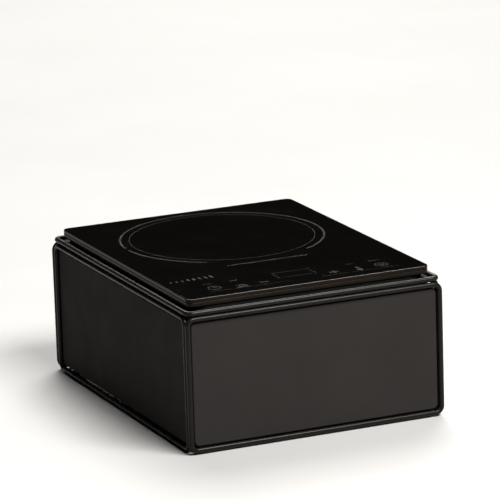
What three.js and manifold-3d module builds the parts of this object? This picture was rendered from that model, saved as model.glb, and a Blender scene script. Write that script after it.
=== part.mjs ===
// An induction cooktop that lifts out of a low box housing.
// The housing is made of rod frames round folded sheet panels, with a rod ring and a plate on top.
// Millimetres, +Z up. x = 0 and y = 0 are the middle, z = 0 is under the feet, the touch keys face -Y.
import * as THREE from "three";
import { mergeVertices } from "three/addons/utils/BufferGeometryUtils.js";
import Module from "manifold-3d";

// ---------------------------------------------------------------- sizes
const gap = 0.3; // left between two pieces that touch
const sheet = 1.5; // steel sheet of the panels, plate, angles and pan

// Housing: four rod frames stand round it, their upright rods side by side at each corner.
const housingWidth = 308;
const housingDepth = 396.5;
const frameHeight = 152.5;
const rodRadius = 3;
const rodCorner = 7.5; // corner radius of every rod loop, to the rod's centre
const rodPairGap = 0.6; // between the two upright rods at a corner
const ringStep = 1.1; // how far the top ring stands in from the frames
const plateFit = 0.7; // round the top plate, inside the ring

const panelGroove = 1.2; // between a panel's edge and its rod
const panelRecess = 0.6; // of a panel's face behind the rods' centres
const panelCorner = 6;

const angleLeg = 22; // corner angles, behind the panels' flanges
const footRadius = 9;
const footProud = 1.5; // how far the feet stand below the rods
const footFromCorner = 13; // foot's centre from both outer faces of its angle

const slotCount = 6; // vent slots in the rear panel
const slotLength = 130;
const slotHeight = 5;
const slotCorner = 2;
const slotPitch = 12;
const slotX = -58; // middle of the slots
const slotZ = 77;
const grommetX = 92; // cord opening in the rear panel
const grommetZ = 40;
const grommetBore = 11;
const grommetWall = 3;
const grommetLip = 2.5; // lip on each side of the panel, and its height
const grommetFit = 0.4;

// Cooktop: glass and trim frame rest on a gasket round the plate's cut-out, the pan hangs in it.
const glassMarginX = 9; // from the housing's side to the glass
const glassMarginY = 13.25;
const glassThickness = 4;
const glassCorner = 8;
const trimHeight = 4.5;
const trimWidth = 18;
const trimInnerCorner = 18;
const sealRecess = 1; // depth of the trim's recess for the glass seal
const sealEdge = 1.3; // trim left outside the recess
const sealWidth = 8;
const gasketHeight = 5.3;
const gasketWidth = 9.5;
const panInset = 13; // from the glass edge to the pan's wall
const panCorner = 12;
const panDepth = 57; // from the trim down to the underside of the floor
const cutoutClearance = 2; // round the pan, in the plate and the gasket

const bossRadius = 4.5; // screw bosses under the trim frame
const bossFromWall = 7;
const screwRadius = 1.5;
const screwHead = 3.5;
const screwHeadHeight = 2.2;
const screwDepth = 12;

const coilFromTrim = 11; // from the mica's edge to the rear of the trim's opening
const coilInner = 32;
const coilOuter = 98;
const coilThickness = 5;
const coilAir = 0.4; // between glass and mica
const micaThickness = 0.5;
const micaMargin = 4;
const formerThickness = 2.3;
const formerMargin = 3;
const formerHole = 28;
const formerPost = 4;
const formerPostReach = 6.65; // from the winding out to a post
const formerLug = 7;
const ferriteCount = 6;
const ferriteLength = 58;
const ferriteWidth = 15;
const ferriteHeight = 5;
const ferriteStart = 35;

const sensorHub = 9; // spring-loaded temperature sensor in the middle of the coil
const sensorHubHeight = 2.3;
const sensorDrop = 5; // hub below the former
const sensorCap = 7;
const sensorCapHeight = 2.5;
const sensorStem = 2.4;
const sensorStemFit = 0.5;
const sensorTravel = 2.5;
const sensorFoot = 4;
const springRadius = 4.6;
const springWire = 0.5;
const springTurns = 4;

const fanSize = 80;
const fanDepth = 25;
const fanX = -70;
const fanFromCoil = -9; // along y
const fanWall = 2;
const fanCorner = 4;
const fanHub = 16;
const fanTip = 1.5; // between blade tips and duct
const fanBlades = 7;
const fanBladePitch = 38; // degrees
const fanStrut = 3;
const fanShaft = 1.5;
const fanShaftFit = 0.3;
const grilleBar = 3;
const grilleSlot = 4.5;
const exhaustCount = 12;
const exhaustWidth = 4;
const exhaustHeight = 26;
const exhaustPitch = 9;

const boardThickness = 1.6;
const boardHeight = 6; // power board above the pan's floor
const boardFromFan = 10;
const boardFromWall = 7;
const boardFromRear = 6;
const boardFromFront = 63;
const boardHoleFit = 1.5; // round the posts and bosses that pass the board
const standoff = 3;
const standoffInset = 6;
const solderGap = 0.4;

const heatsinkWidth = 58;
const heatsinkDepth = 80;
const heatsinkHeight = 30;
const heatsinkBase = 4;
const finCount = 10;
const finThickness = 1.8;

const keyRow = 27; // touch keys from the front edge of the glass
const keyPlaces = [-99, -69.5, -42, 42, 71, 100];
const keyPad = 4.5;
const keyStripDepth = 10;
const keyStripHeight = 1;
const controlWidth = 226;
const controlDepth = 52;
const controlDrop = 4; // control board's top below the glass
const displayWidth = 48;
const displayDepth = 24;
const displayHeight = 3.4;
const controlPost = 3.5;

const glandX = 100; // mains cord gland in the pan's floor
const glandFromRear = 22;
const glandBody = 8;
const glandBore = 4.5;
const glandFlange = 11;
const glandDrop = 12;

// ---------------------------------------------------------------- places worked out from the sizes
const frameBottom = footProud;
const frameTop = frameBottom + frameHeight;
const rodHalfX = housingWidth / 2 - rodRadius;
const rodHalfY = housingDepth / 2 - rodRadius;
const sideRodHalfY = rodHalfY - 2 * rodRadius - rodPairGap;
const frameMiddle = (frameBottom + frameTop) / 2;
const rodHalfZ = frameHeight / 2 - rodRadius;
const flangeDepth = 3 * rodRadius + rodPairGap - panelRecess; // neighbouring panels' edges just meet
const ringHalfX = rodHalfX - ringStep;
const ringHalfY = rodHalfY - ringStep;
const ringZ = frameTop + gap + rodRadius;

const plateBottom = frameTop + gap;
const plateTop = plateBottom + sheet;
const gasketBottom = plateTop + gap;
const trimBottom = gasketBottom + gasketHeight + gap;
const trimTop = trimBottom + trimHeight;
const glassBottom = trimTop + gap;
const glassTop = glassBottom + glassThickness;

const glassHalfX = housingWidth / 2 - glassMarginX;
const glassHalfY = housingDepth / 2 - glassMarginY;
const panHalfX = glassHalfX - panInset;
const panHalfY = glassHalfY - panInset;
const panTop = trimBottom - gap;
const panFloor = trimBottom - panDepth;
const floorTop = panFloor + sheet;

const coilY = glassHalfY - trimWidth - coilFromTrim - micaMargin - coilOuter;
const formerPostOffset = (coilOuter + formerPostReach) / Math.SQRT2; // each way from the coil's centre
const micaBottom = glassBottom - coilAir - micaThickness;
const coilBottom = micaBottom - gap - coilThickness;
const formerBottom = coilBottom - gap - formerThickness;
const hubTop = formerBottom - sensorDrop + sensorHubHeight;
const hubBottom = formerBottom - sensorDrop;

const fanY = coilY + fanFromCoil;
const fanBottom = floorTop + gap;
const fanDuct = fanSize / 2 - fanWall;

const boardBottom = floorTop + boardHeight;
const boardTop = boardBottom + boardThickness;
const boardLeft = fanX + fanSize / 2 + boardFromFan;
const boardRight = panHalfX - sheet - boardFromWall;
const boardRear = panHalfY - sheet - boardFromRear;
const boardFront = boardFromFront + sheet - panHalfY;
const partsBottom = boardTop + solderGap;

const controlTop = glassBottom - controlDrop;
const keyY = -glassHalfY + keyRow;
const stripBottom = controlTop + gap;
const controlFront = keyY - keyStripDepth / 2;
const displayY = keyY + keyStripDepth / 2 + 1 + displayDepth / 2;
const angleX = rodHalfX - panelRecess - flangeDepth - gap; // outer faces of the corner angles
const angleY = rodHalfY - panelRecess - flangeDepth - gap;
const anglePlate = frameBottom + 2 * rodRadius; // underside of the plate a foot is fixed to

// ---------------------------------------------------------------- materials
const finish = (color, roughness, metalness) =>
  new THREE.MeshStandardMaterial({ color, roughness, metalness });
const powderCoat = finish(0x3b3937, 0.55, 0.2);
const rodCoat = finish(0x44413e, 0.4, 0.3);
const blackGlass = finish(0x0c0b0a, 0.06, 0);
const blackPlastic = finish(0x1b1b1c, 0.5, 0);
const rubber = finish(0x151515, 0.85, 0);
const plated = finish(0xb9bcc0, 0.35, 0.9);
const copper = finish(0xb5683c, 0.4, 0.8);
const ferriteGrey = finish(0x2c2c30, 0.7, 0.1);
const aluminium = finish(0xb4b6b8, 0.4, 0.9);
const circuitGreen = finish(0x1f5a36, 0.5, 0);
const micaTan = finish(0xb9a27c, 0.5, 0);
const epoxyBlack = finish(0x18181a, 0.45, 0);
const filmYellow = finish(0xc9a63a, 0.45, 0);
const filmBlue = finish(0x2f4f8f, 0.45, 0);
const paleRubber = finish(0xc9c6bd, 0.7, 0);
const ribbonGrey = finish(0x9a9ca0, 0.6, 0);
const redSleeve = finish(0x8a2a22, 0.6, 0);
const fuseGlass = finish(0xc8d0cc, 0.2, 0);

// ---------------------------------------------------------------- solids
const wasm = await Module();
wasm.setup();

function solidOf(geometry) {
  const bare = geometry.index ? geometry.toNonIndexed() : geometry.clone();
  bare.deleteAttribute("normal");
  bare.deleteAttribute("uv");
  const merged = mergeVertices(bare, 1e-4);
  return new wasm.Manifold(
    new wasm.Mesh({
      numProp: 3,
      vertProperties: merged.attributes.position.array,
      triVerts: new Uint32Array(merged.index.array),
    }),
  );
}

function geometryOf(solid) {
  const mesh = solid.getMesh();
  const geometry = new THREE.BufferGeometry();
  geometry.setAttribute("position", new THREE.BufferAttribute(mesh.vertProperties, 3));
  geometry.setIndex(new THREE.BufferAttribute(mesh.triVerts, 1));
  geometry.computeVertexNormals();
  return geometry;
}

const join = (...pieces) => geometryOf(pieces.map(solidOf).reduce((a, b) => a.add(b)));
const cut = (base, ...tools) =>
  geometryOf(tools.map(solidOf).reduce((a, b) => a.subtract(b), solidOf(base)));
const common = (a, b) => geometryOf(solidOf(a).intersect(solidOf(b)));

// A rectangle with round corners, given by its half sizes.
function roundedRect(halfX, halfY, corner) {
  const shape = new THREE.Shape();
  const x = halfX - corner;
  const y = halfY - corner;
  shape.absarc(x, y, corner, 0, Math.PI / 2);
  shape.absarc(-x, y, corner, Math.PI / 2, Math.PI);
  shape.absarc(-x, -y, corner, Math.PI, 1.5 * Math.PI);
  shape.absarc(x, -y, corner, 1.5 * Math.PI, 2 * Math.PI);
  return shape;
}

const extrude = (shape, bottom, top, curveSegments = 4) =>
  new THREE.ExtrudeGeometry(shape, { depth: top - bottom, bevelEnabled: false, curveSegments })
    .translate(0, 0, bottom);

function frameShape(halfX, halfY, corner, innerX, innerY, innerCorner) {
  const shape = roundedRect(halfX, halfY, corner);
  shape.holes.push(roundedRect(innerX, innerY, innerCorner));
  return shape;
}

const box = (x0, x1, y0, y1, z0, z1) =>
  new THREE.BoxGeometry(x1 - x0, y1 - y0, z1 - z0)
    .translate((x0 + x1) / 2, (y0 + y1) / 2, (z0 + z1) / 2);

const cylinder = (radius, x, y, bottom, top, sides = 16) =>
  new THREE.CylinderGeometry(radius, radius, top - bottom, sides)
    .rotateX(Math.PI / 2)
    .translate(x, y, (bottom + top) / 2);

// A ring of revolution about the z axis through (x, y), from a closed profile of [radius, z] points.
const turned = (profile, x, y, sides = 32) =>
  new THREE.LatheGeometry(
    [...profile, profile[0]].map(([radius, z]) => new THREE.Vector2(radius, z)),
    sides,
  )
    .rotateX(Math.PI / 2)
    .translate(x, y, 0);

// A round tube or flat strip along a smooth curve through the points.
function along(points, section, steps) {
  const path = new THREE.CatmullRomCurve3(points.map((p) => new THREE.Vector3(...p)));
  return new THREE.ExtrudeGeometry(section, { steps, extrudePath: path, curveSegments: 2 });
}

const roundSection = (radius) => new THREE.Shape().absarc(0, 0, radius, 0, 2 * Math.PI);

// A rod bent into a closed rectangle with round corners, lying in the XY plane.
function rodLoop(halfX, halfY, corner, radius, sides = 12, cornerSteps = 4) {
  const centres = [
    [halfX - corner, halfY - corner],
    [corner - halfX, halfY - corner],
    [corner - halfX, corner - halfY],
    [halfX - corner, corner - halfY],
  ];
  const positions = [];
  const faces = [];
  const rings = 4 * (cornerSteps + 1);
  for (let ring = 0; ring < rings; ring++) {
    const quarter = Math.floor(ring / (cornerSteps + 1));
    const step = ring % (cornerSteps + 1);
    const turn = (quarter + step / cornerSteps) * (Math.PI / 2);
    const [x, y] = centres[quarter];
    for (let side = 0; side < sides; side++) {
      const round = (side / sides) * 2 * Math.PI;
      const reach = corner + radius * Math.cos(round);
      positions.push(x + reach * Math.cos(turn), y + reach * Math.sin(turn), radius * Math.sin(round));
      const a = ring * sides + side;
      const b = ring * sides + ((side + 1) % sides);
      const c = ((ring + 1) % rings) * sides + side;
      const d = ((ring + 1) % rings) * sides + ((side + 1) % sides);
      faces.push(a, c, b, b, c, d);
    }
  }
  const geometry = new THREE.BufferGeometry();
  geometry.setAttribute("position", new THREE.Float32BufferAttribute(positions, 3));
  geometry.setIndex(faces);
  geometry.computeVertexNormals();
  return geometry;
}

function addPiece(group, name, geometry, material) {
  const mesh = new THREE.Mesh(geometry, material);
  mesh.name = name;
  group.add(mesh);
  return mesh;
}

const corners = [
  ["front_left", -1, -1],
  ["front_right", 1, -1],
  ["rear_left", -1, 1],
  ["rear_right", 1, 1],
];

// ---------------------------------------------------------------- housing
const housing = new THREE.Group();

// A panel is a shallow tray: its face looks along -Y, its folded edge runs back from the face,
// and a lip at the back of that edge closes the groove round the panel.
function panel(halfSpan, cutters = []) {
  const halfX = halfSpan - rodRadius - panelGroove;
  const halfZ = rodHalfZ - rodRadius - panelGroove;
  const tray = extrude(roundedRect(halfX, halfZ, panelCorner), -flangeDepth, 0);
  const lip = extrude(
    roundedRect(halfX + panelGroove - gap, halfZ + panelGroove + rodRadius, panelCorner),
    -flangeDepth,
    sheet - flangeDepth,
  );
  const inner = extrude(
    roundedRect(halfX - sheet, halfZ - sheet, panelCorner - sheet),
    -flangeDepth - 1,
    -sheet,
  );
  return cut(join(tray, lip), inner, ...cutters).rotateX(Math.PI / 2);
}

// Seen from behind, x runs the other way, so the rear panel's cutters are mirrored in x.
function rearCutters() {
  const slots = [];
  for (let i = 0; i < slotCount; i++) {
    const z = slotZ + (i - (slotCount - 1) / 2) * slotPitch - frameMiddle;
    const outline = roundedRect(slotLength / 2, slotHeight / 2, slotCorner);
    slots.push(extrude(outline, -sheet - 1, 1, 2).translate(-slotX, z, 0));
  }
  const hole = grommetBore + grommetWall;
  return [...slots, cylinder(hole, -grommetX, grommetZ - frameMiddle, -sheet - 1, 1, 20)];
}

const sides = [
  { name: "front", turn: 0, halfSpan: rodHalfX, distance: rodHalfY, cutters: [] },
  { name: "right", turn: 0.5, halfSpan: sideRodHalfY, distance: rodHalfX, cutters: [] },
  { name: "rear", turn: 1, halfSpan: rodHalfX, distance: rodHalfY, cutters: rearCutters() },
  { name: "left", turn: 1.5, halfSpan: sideRodHalfY, distance: rodHalfX, cutters: [] },
];
for (const { name, turn, halfSpan, distance, cutters } of sides) {
  const side = new THREE.Group();
  side.rotation.z = turn * Math.PI;
  const loop = rodLoop(halfSpan, rodHalfZ, rodCorner, rodRadius).rotateX(Math.PI / 2);
  addPiece(side, "rod_frame_" + name, loop, rodCoat).position.set(0, -distance, frameMiddle);
  const face = addPiece(side, "panel_" + name, panel(halfSpan, cutters), powderCoat);
  face.position.set(0, panelRecess - distance, frameMiddle);
  housing.add(side);
}

addPiece(housing, "top_ring", rodLoop(ringHalfX, ringHalfY, rodCorner, rodRadius), rodCoat)
  .position.set(0, 0, ringZ);

// The ring's rod curves away from the plate's upper edge, which lies below the rod's middle.
const ringReach = Math.sqrt(rodRadius ** 2 - (rodRadius - sheet) ** 2) + plateFit;
const cutoutX = panHalfX + cutoutClearance;
const cutoutY = panHalfY + cutoutClearance;
const cutoutCorner = panCorner + cutoutClearance;
addPiece(
  housing,
  "top_plate",
  extrude(
    frameShape(
      ringHalfX - ringReach,
      ringHalfY - ringReach,
      rodCorner - rodRadius,
      cutoutX,
      cutoutY,
      cutoutCorner,
    ),
    plateBottom,
    plateTop,
  ),
  powderCoat,
);
addPiece(
  housing,
  "rest_gasket",
  extrude(
    frameShape(
      cutoutX + gasketWidth,
      cutoutY + gasketWidth,
      cutoutCorner + gasketWidth,
      cutoutX,
      cutoutY,
      cutoutCorner,
    ),
    gasketBottom,
    gasketBottom + gasketHeight,
  ),
  rubber,
);

// A corner angle joins the flanges of two panels; the small plate at its lower end carries a foot.
function cornerAngle(sx, sy) {
  const corner = (width, depth, bottom, top) =>
    box(
      Math.min(sx * angleX, sx * (angleX - width)),
      Math.max(sx * angleX, sx * (angleX - width)),
      Math.min(sy * angleY, sy * (angleY - depth)),
      Math.max(sy * angleY, sy * (angleY - depth)),
      bottom,
      top,
    );
  const top = plateBottom - gap;
  return join(
    corner(angleLeg, sheet, anglePlate, top),
    corner(sheet, angleLeg, anglePlate, top),
    corner(angleLeg, angleLeg, anglePlate, anglePlate + sheet),
  );
}

for (const [name, sx, sy] of corners) {
  addPiece(housing, "corner_angle_" + name, cornerAngle(sx, sy), powderCoat);
  const x = sx * (angleX - footFromCorner);
  const y = sy * (angleY - footFromCorner);
  addPiece(housing, "foot_" + name, cylinder(footRadius, x, y, 0, anglePlate - gap, 24), rubber);
}

// The grommet is a rubber ring with a lip on each side of the rear panel.
function cordGrommet() {
  const outer = grommetBore + grommetWall - grommetFit;
  const lip = outer + grommetFit + grommetLip;
  const near = gap;
  const far = -sheet - gap;
  const ring = turned(
    [
      [grommetBore, far - grommetLip],
      [lip, far - grommetLip],
      [lip, far],
      [outer, far],
      [outer, near],
      [lip, near],
      [lip, near + grommetLip],
      [grommetBore, near + grommetLip],
    ],
    0,
    0,
    24,
  );
  return ring.rotateX(-Math.PI / 2);
}
addPiece(housing, "cord_grommet", cordGrommet(), rubber)
  .position.set(grommetX, rodHalfY - panelRecess, grommetZ);

// ---------------------------------------------------------------- cooktop: glass, trim and pan
const cooktop = new THREE.Group();

addPiece(
  cooktop,
  "glass_top",
  extrude(roundedRect(glassHalfX, glassHalfY, glassCorner), glassBottom, glassTop, 6),
  blackGlass,
);

const recessX = glassHalfX - sealEdge;
const recessY = glassHalfY - sealEdge;
const recessCorner = glassCorner - sealEdge;
addPiece(
  cooktop,
  "glass_seal",
  extrude(
    frameShape(
      recessX - gap,
      recessY - gap,
      recessCorner - gap,
      recessX - sealWidth,
      recessY - sealWidth,
      recessCorner,
    ),
    trimTop - sealRecess + gap,
    trimTop,
  ),
  rubber,
);

const bossX = panHalfX - sheet - bossFromWall;
const bossY = panHalfY - sheet - bossFromWall;
const bossBottom = floorTop + gap;
function trimFrame() {
  const ring = extrude(
    frameShape(
      glassHalfX,
      glassHalfY,
      glassCorner,
      glassHalfX - trimWidth,
      glassHalfY - trimWidth,
      trimInnerCorner,
    ),
    trimBottom,
    trimTop,
    6,
  );
  const recess = extrude(roundedRect(recessX, recessY, recessCorner), trimTop - sealRecess, trimTop + 1);
  const bosses = corners.map(([, sx, sy]) =>
    cylinder(bossRadius, sx * bossX, sy * bossY, bossBottom, trimBottom + 1, 12),
  );
  const bores = corners.map(([, sx, sy]) =>
    cylinder(screwRadius + gap, sx * bossX, sy * bossY, bossBottom - 1, bossBottom + screwDepth, 8),
  );
  return cut(join(cut(ring, recess), ...bosses), ...bores);
}
addPiece(cooktop, "trim_frame", trimFrame(), blackPlastic);

function panScrew(x, y) {
  const headTop = panFloor - gap;
  return join(
    cylinder(screwHead, x, y, headTop - screwHeadHeight, headTop, 12),
    cylinder(screwRadius, x, y, headTop - 1, floorTop + screwDepth - 1, 8),
  );
}
for (const [name, sx, sy] of corners)
  addPiece(cooktop, "pan_screw_" + name, panScrew(sx * bossX, sy * bossY), plated);

const formerPosts = [
  [-formerPostOffset, coilY - formerPostOffset],
  [formerPostOffset, coilY - formerPostOffset],
  [-formerPostOffset, coilY + formerPostOffset],
  [formerPostOffset, coilY + formerPostOffset],
];
const standoffs = [
  [boardLeft + standoffInset, boardFront + standoffInset],
  [boardRight - standoffInset, boardFront + standoffInset],
  [boardLeft + standoffInset, boardRear - standoffInset],
  [boardRight - standoffInset, boardRear - standoffInset],
];
const controlRear = controlFront + controlDepth;
const controlPosts = [
  [-controlWidth / 2 + standoffInset, controlRear - standoffInset],
  [controlWidth / 2 - standoffInset, controlRear - standoffInset],
];
const glandY = panHalfY - glandFromRear;
const controlBottom = controlTop - boardThickness;

// Parallel slots under the fan, cut off by its round duct.
function fanGrille() {
  const disc = cylinder(fanDuct - 1, fanX, fanY, panFloor - 1, floorTop + 1, 24);
  const pitch = grilleBar + grilleSlot;
  const bars = [];
  for (let y = fanY - fanDuct; y < fanY + fanDuct; y += pitch)
    bars.push(box(fanX - fanDuct, fanX + fanDuct, y, y + grilleBar, panFloor - 2, floorTop + 2));
  bars.push(box(fanX - grilleBar / 2, fanX + grilleBar / 2, fanY - fanDuct, fanY + fanDuct,
    panFloor - 2, floorTop + 2));
  return cut(disc, ...bars);
}

function basePan() {
  const shell = cut(
    extrude(roundedRect(panHalfX, panHalfY, panCorner), panFloor, panTop),
    extrude(roundedRect(panHalfX - sheet, panHalfY - sheet, panCorner - sheet), floorTop, panTop + 1),
  );
  const post = (radius, top) => ([x, y]) => cylinder(radius, x, y, floorTop - 1, top, 8);
  const posts = [
    ...formerPosts.map(post(formerPost, formerBottom - gap)),
    ...standoffs.map(post(standoff, boardBottom - gap)),
    ...controlPosts.map(post(controlPost, controlBottom - gap)),
  ];
  const holes = corners.map(([, sx, sy]) =>
    cylinder(screwRadius + gap, sx * bossX, sy * bossY, panFloor - 1, floorTop + 1, 8),
  );
  const exhaust = [];
  for (let i = 0; i < exhaustCount; i++) {
    const x = (i - (exhaustCount - 1) / 2) * exhaustPitch;
    const z = floorTop + boardHeight;
    exhaust.push(box(x, x + exhaustWidth, panHalfY - sheet - 1, panHalfY + 1, z, z + exhaustHeight));
  }
  const glandHole = cylinder(glandBody + gap, glandX, glandY, panFloor - 1, floorTop + 1, 24);
  return cut(join(shell, ...posts), fanGrille(), glandHole, ...holes, ...exhaust);
}
addPiece(cooktop, "base_pan", basePan(), powderCoat);

addPiece(
  cooktop,
  "cord_gland",
  turned(
    [
      [glandBore, panFloor - glandDrop],
      [glandFlange - 1, panFloor - glandDrop],
      [glandFlange, panFloor - glandDrop + 1],
      [glandFlange, panFloor - gap],
      [glandBody, panFloor - gap],
      [glandBody, floorTop + gap],
      [glandBody + 1, floorTop + gap],
      [glandBody + 1, floorTop + gap + 3],
      [glandBore, floorTop + gap + 3],
    ],
    glandX,
    glandY,
    24,
  ),
  blackPlastic,
);

// ---------------------------------------------------------------- cooktop: coil and sensor
addPiece(
  cooktop,
  "mica_sheet",
  cylinder(coilOuter + micaMargin, 0, coilY, micaBottom, micaBottom + micaThickness, 32),
  micaTan,
);

// The sensor's cap comes up through the coil and touches the mica that lies under the glass.
const sensorTop = micaBottom - gap;
addPiece(
  cooktop,
  "induction_coil",
  turned(
    [
      [coilInner, coilBottom],
      [coilOuter, coilBottom],
      [coilOuter, coilBottom + coilThickness],
      [coilInner, coilBottom + coilThickness],
    ],
    0,
    coilY,
  ),
  copper,
);

function coilFormer() {
  const top = formerBottom + formerThickness;
  const disc = turned(
    [
      [formerHole, formerBottom],
      [coilOuter + formerMargin, formerBottom],
      [coilOuter + formerMargin, top],
      [formerHole, top],
    ],
    0,
    coilY,
  );
  const lugs = formerPosts.map(([x, y]) => cylinder(formerLug, x, y, formerBottom, top, 12));
  const spokes = [];
  for (let i = 0; i < 3; i++)
    spokes.push(
      box(sensorHub - 1, formerHole + 2, -3, 3, hubBottom, top)
        .rotateZ(Math.PI / 2 + (i * 2 * Math.PI) / 3)
        .translate(0, coilY, 0),
    );
  const hub = cylinder(sensorHub, 0, coilY, hubBottom, hubTop, 24);
  const guide = cylinder(sensorStem + sensorStemFit, 0, coilY, hubBottom - 1, hubTop + 1, 24);
  return cut(join(disc, hub, ...lugs, ...spokes), guide);
}
addPiece(cooktop, "coil_former", coilFormer(), blackPlastic);

for (let i = 0; i < ferriteCount; i++) {
  const bar = box(
    ferriteStart,
    ferriteStart + ferriteLength,
    -ferriteWidth / 2,
    ferriteWidth / 2,
    formerBottom - gap - ferriteHeight,
    formerBottom - gap,
  );
  const mesh = addPiece(cooktop, "ferrite_bar_" + (i + 1), bar, ferriteGrey);
  mesh.position.set(0, coilY, 0);
  mesh.rotation.z = (i * 2 * Math.PI) / ferriteCount;
}

const stemBottom = hubBottom - sensorTravel;
addPiece(
  cooktop,
  "temperature_sensor",
  join(
    cylinder(sensorCap, 0, coilY, sensorTop - sensorCapHeight, sensorTop, 24),
    cylinder(sensorStem, 0, coilY, stemBottom - 1, sensorTop - 1, 16),
    cylinder(sensorFoot, 0, coilY, stemBottom - 1.5, stemBottom, 16),
  ),
  aluminium,
);

function sensorSpring() {
  const bottom = hubTop + gap + springWire;
  const top = sensorTop - sensorCapHeight - gap - springWire;
  const stepsPerTurn = 10;
  const points = [];
  for (let i = 0; i <= springTurns * stepsPerTurn; i++) {
    const turn = (i / stepsPerTurn) * 2 * Math.PI;
    const z = bottom + ((top - bottom) * i) / (springTurns * stepsPerTurn);
    points.push([springRadius * Math.cos(turn), coilY + springRadius * Math.sin(turn), z]);
  }
  return along(points, roundSection(springWire), springTurns * stepsPerTurn);
}
addPiece(cooktop, "sensor_spring", sensorSpring(), plated);

// ---------------------------------------------------------------- cooktop: fan
function fanFrame() {
  const top = fanBottom + fanDepth;
  const half = fanSize / 2;
  const body = cut(
    extrude(roundedRect(half, half, fanCorner), fanBottom, top).translate(fanX, fanY, 0),
    cylinder(fanDuct, fanX, fanY, fanBottom - 1, top + 1, 32),
  );
  const struts = [0, 1].map((quarter) =>
    box(-fanDuct - 1, fanDuct + 1, -fanStrut / 2, fanStrut / 2, fanBottom, fanBottom + fanStrut)
      .rotateZ(Math.PI / 4 + (quarter * Math.PI) / 2)
      .translate(fanX, fanY, 0),
  );
  const base = cylinder(fanHub, fanX, fanY, fanBottom, fanBottom + fanStrut, 24);
  const bearing = cylinder(fanShaft + fanShaftFit, fanX, fanY, fanBottom + 0.5, fanBottom + fanStrut + 1, 12);
  return cut(join(body, base, ...struts), bearing);
}
addPiece(cooktop, "fan_frame", fanFrame(), blackPlastic);

function fanRotor() {
  const bottom = fanBottom + fanStrut + 1;
  const top = fanBottom + fanDepth - 1.5;
  const tip = fanDuct - fanTip;
  const hub = cylinder(fanHub, 0, 0, bottom, top, 24);
  const shaft = cylinder(fanShaft, 0, 0, fanBottom + 1, bottom + 1, 12);
  const sweep = cut(cylinder(tip, 0, 0, bottom + 1, top - 1, 28), cylinder(fanHub - 1, 0, 0, bottom, top, 24));
  const height = top - bottom;
  const blades = [];
  for (let i = 0; i < fanBlades; i++) {
    const blade = box(fanHub - 2, tip + 2, -0.8, 0.8, -height, height)
      .rotateX(THREE.MathUtils.degToRad(fanBladePitch))
      .rotateZ((i * 2 * Math.PI) / fanBlades)
      .translate(0, 0, (bottom + top) / 2);
    blades.push(common(blade, sweep));
  }
  return join(hub, shaft, ...blades);
}
addPiece(cooktop, "fan_rotor", fanRotor(), epoxyBlack).position.set(fanX, fanY, 0);

// ---------------------------------------------------------------- cooktop: power electronics
const heatsinkLeft = boardLeft + 4;
const heatsinkRight = heatsinkLeft + heatsinkWidth;
const heatsinkFront = fanY - heatsinkDepth / 2;

const boardHole = (radius, x, y) => cylinder(radius + boardHoleFit, x, y, boardBottom - 1, boardTop + 1);
const postHoles = [
  ...formerPosts.map(([x, y]) => boardHole(formerPost, x, y)),
  ...corners.map(([, sx, sy]) => boardHole(bossRadius, sx * bossX, sy * bossY)),
];
addPiece(
  cooktop,
  "power_board",
  cut(box(boardLeft, boardRight, boardFront, boardRear, boardBottom, boardTop), ...postHoles),
  circuitGreen,
);

function heatsink() {
  const base = box(heatsinkLeft, heatsinkRight, heatsinkFront, heatsinkFront + heatsinkDepth,
    partsBottom, partsBottom + heatsinkBase);
  const fins = [];
  for (let i = 0; i < finCount; i++) {
    const y = heatsinkFront + (i * (heatsinkDepth - finThickness)) / (finCount - 1);
    fins.push(box(heatsinkLeft, heatsinkRight, y, y + finThickness,
      partsBottom + 1, partsBottom + heatsinkHeight));
  }
  return join(base, ...fins);
}
addPiece(cooktop, "heatsink", heatsink(), aluminium);

// A flat transistor or rectifier stands against the heatsink's front face, on its pins.
function powerDevice(x, width, height, thickness, pins) {
  const rear = heatsinkFront - gap;
  const bottom = partsBottom + 4;
  const body = box(x, x + width, rear - thickness, rear, bottom, bottom + height);
  const legs = [];
  for (let i = 0; i < pins; i++) {
    const middle = x + (width * (i + 1)) / (pins + 1);
    legs.push(box(middle - 0.6, middle + 0.6, rear - thickness / 2 - 0.5, rear - thickness / 2 + 0.5,
      partsBottom, bottom + 1));
  }
  return join(body, ...legs);
}
addPiece(cooktop, "power_transistor", powerDevice(heatsinkLeft + 6, 16, 21, 5, 3), epoxyBlack);
addPiece(cooktop, "bridge_rectifier", powerDevice(heatsinkLeft + 30, 20, 17, 4, 4), epoxyBlack);

// A boxed part of the given size whose lower face stands on the power board.
const onBoard = (x, y, width, depth, height) =>
  box(x - width / 2, x + width / 2, y - depth / 2, y + depth / 2, partsBottom, partsBottom + height);
const filmX = (heatsinkRight + boardRight) / 2 + 6;
addPiece(cooktop, "filter_capacitor", onBoard(filmX, fanY - 16, 34, 20, 28), filmYellow);
addPiece(cooktop, "resonant_capacitor", onBoard(filmX, fanY + 10, 34, 22, 30), filmBlue);
addPiece(
  cooktop,
  "line_choke",
  turned([[5, partsBottom], [13, partsBottom], [13, partsBottom + 12], [5, partsBottom + 12]],
    filmX, fanY + 44, 24),
  copper,
);
const lowX = heatsinkLeft + 24;
const lowY = heatsinkFront - 38;
addPiece(
  cooktop,
  "standby_transformer",
  join(onBoard(lowX, lowY, 24, 14, 18), onBoard(lowX, lowY, 15, 22, 14)),
  ferriteGrey,
);
addPiece(
  cooktop,
  "storage_capacitor",
  cylinder(8, lowX + 32, lowY, partsBottom, partsBottom + 20, 20),
  epoxyBlack,
);
const inletY = boardRear - 14;
addPiece(
  cooktop,
  "terminal_block",
  cut(
    onBoard(heatsinkRight + 4, inletY, 30, 14, 16),
    ...[-10, 0, 10].map((shift) =>
      cylinder(2.6, heatsinkRight + 4 + shift, inletY, partsBottom + 8, partsBottom + 17, 12)),
  ),
  blackPlastic,
);
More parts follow.
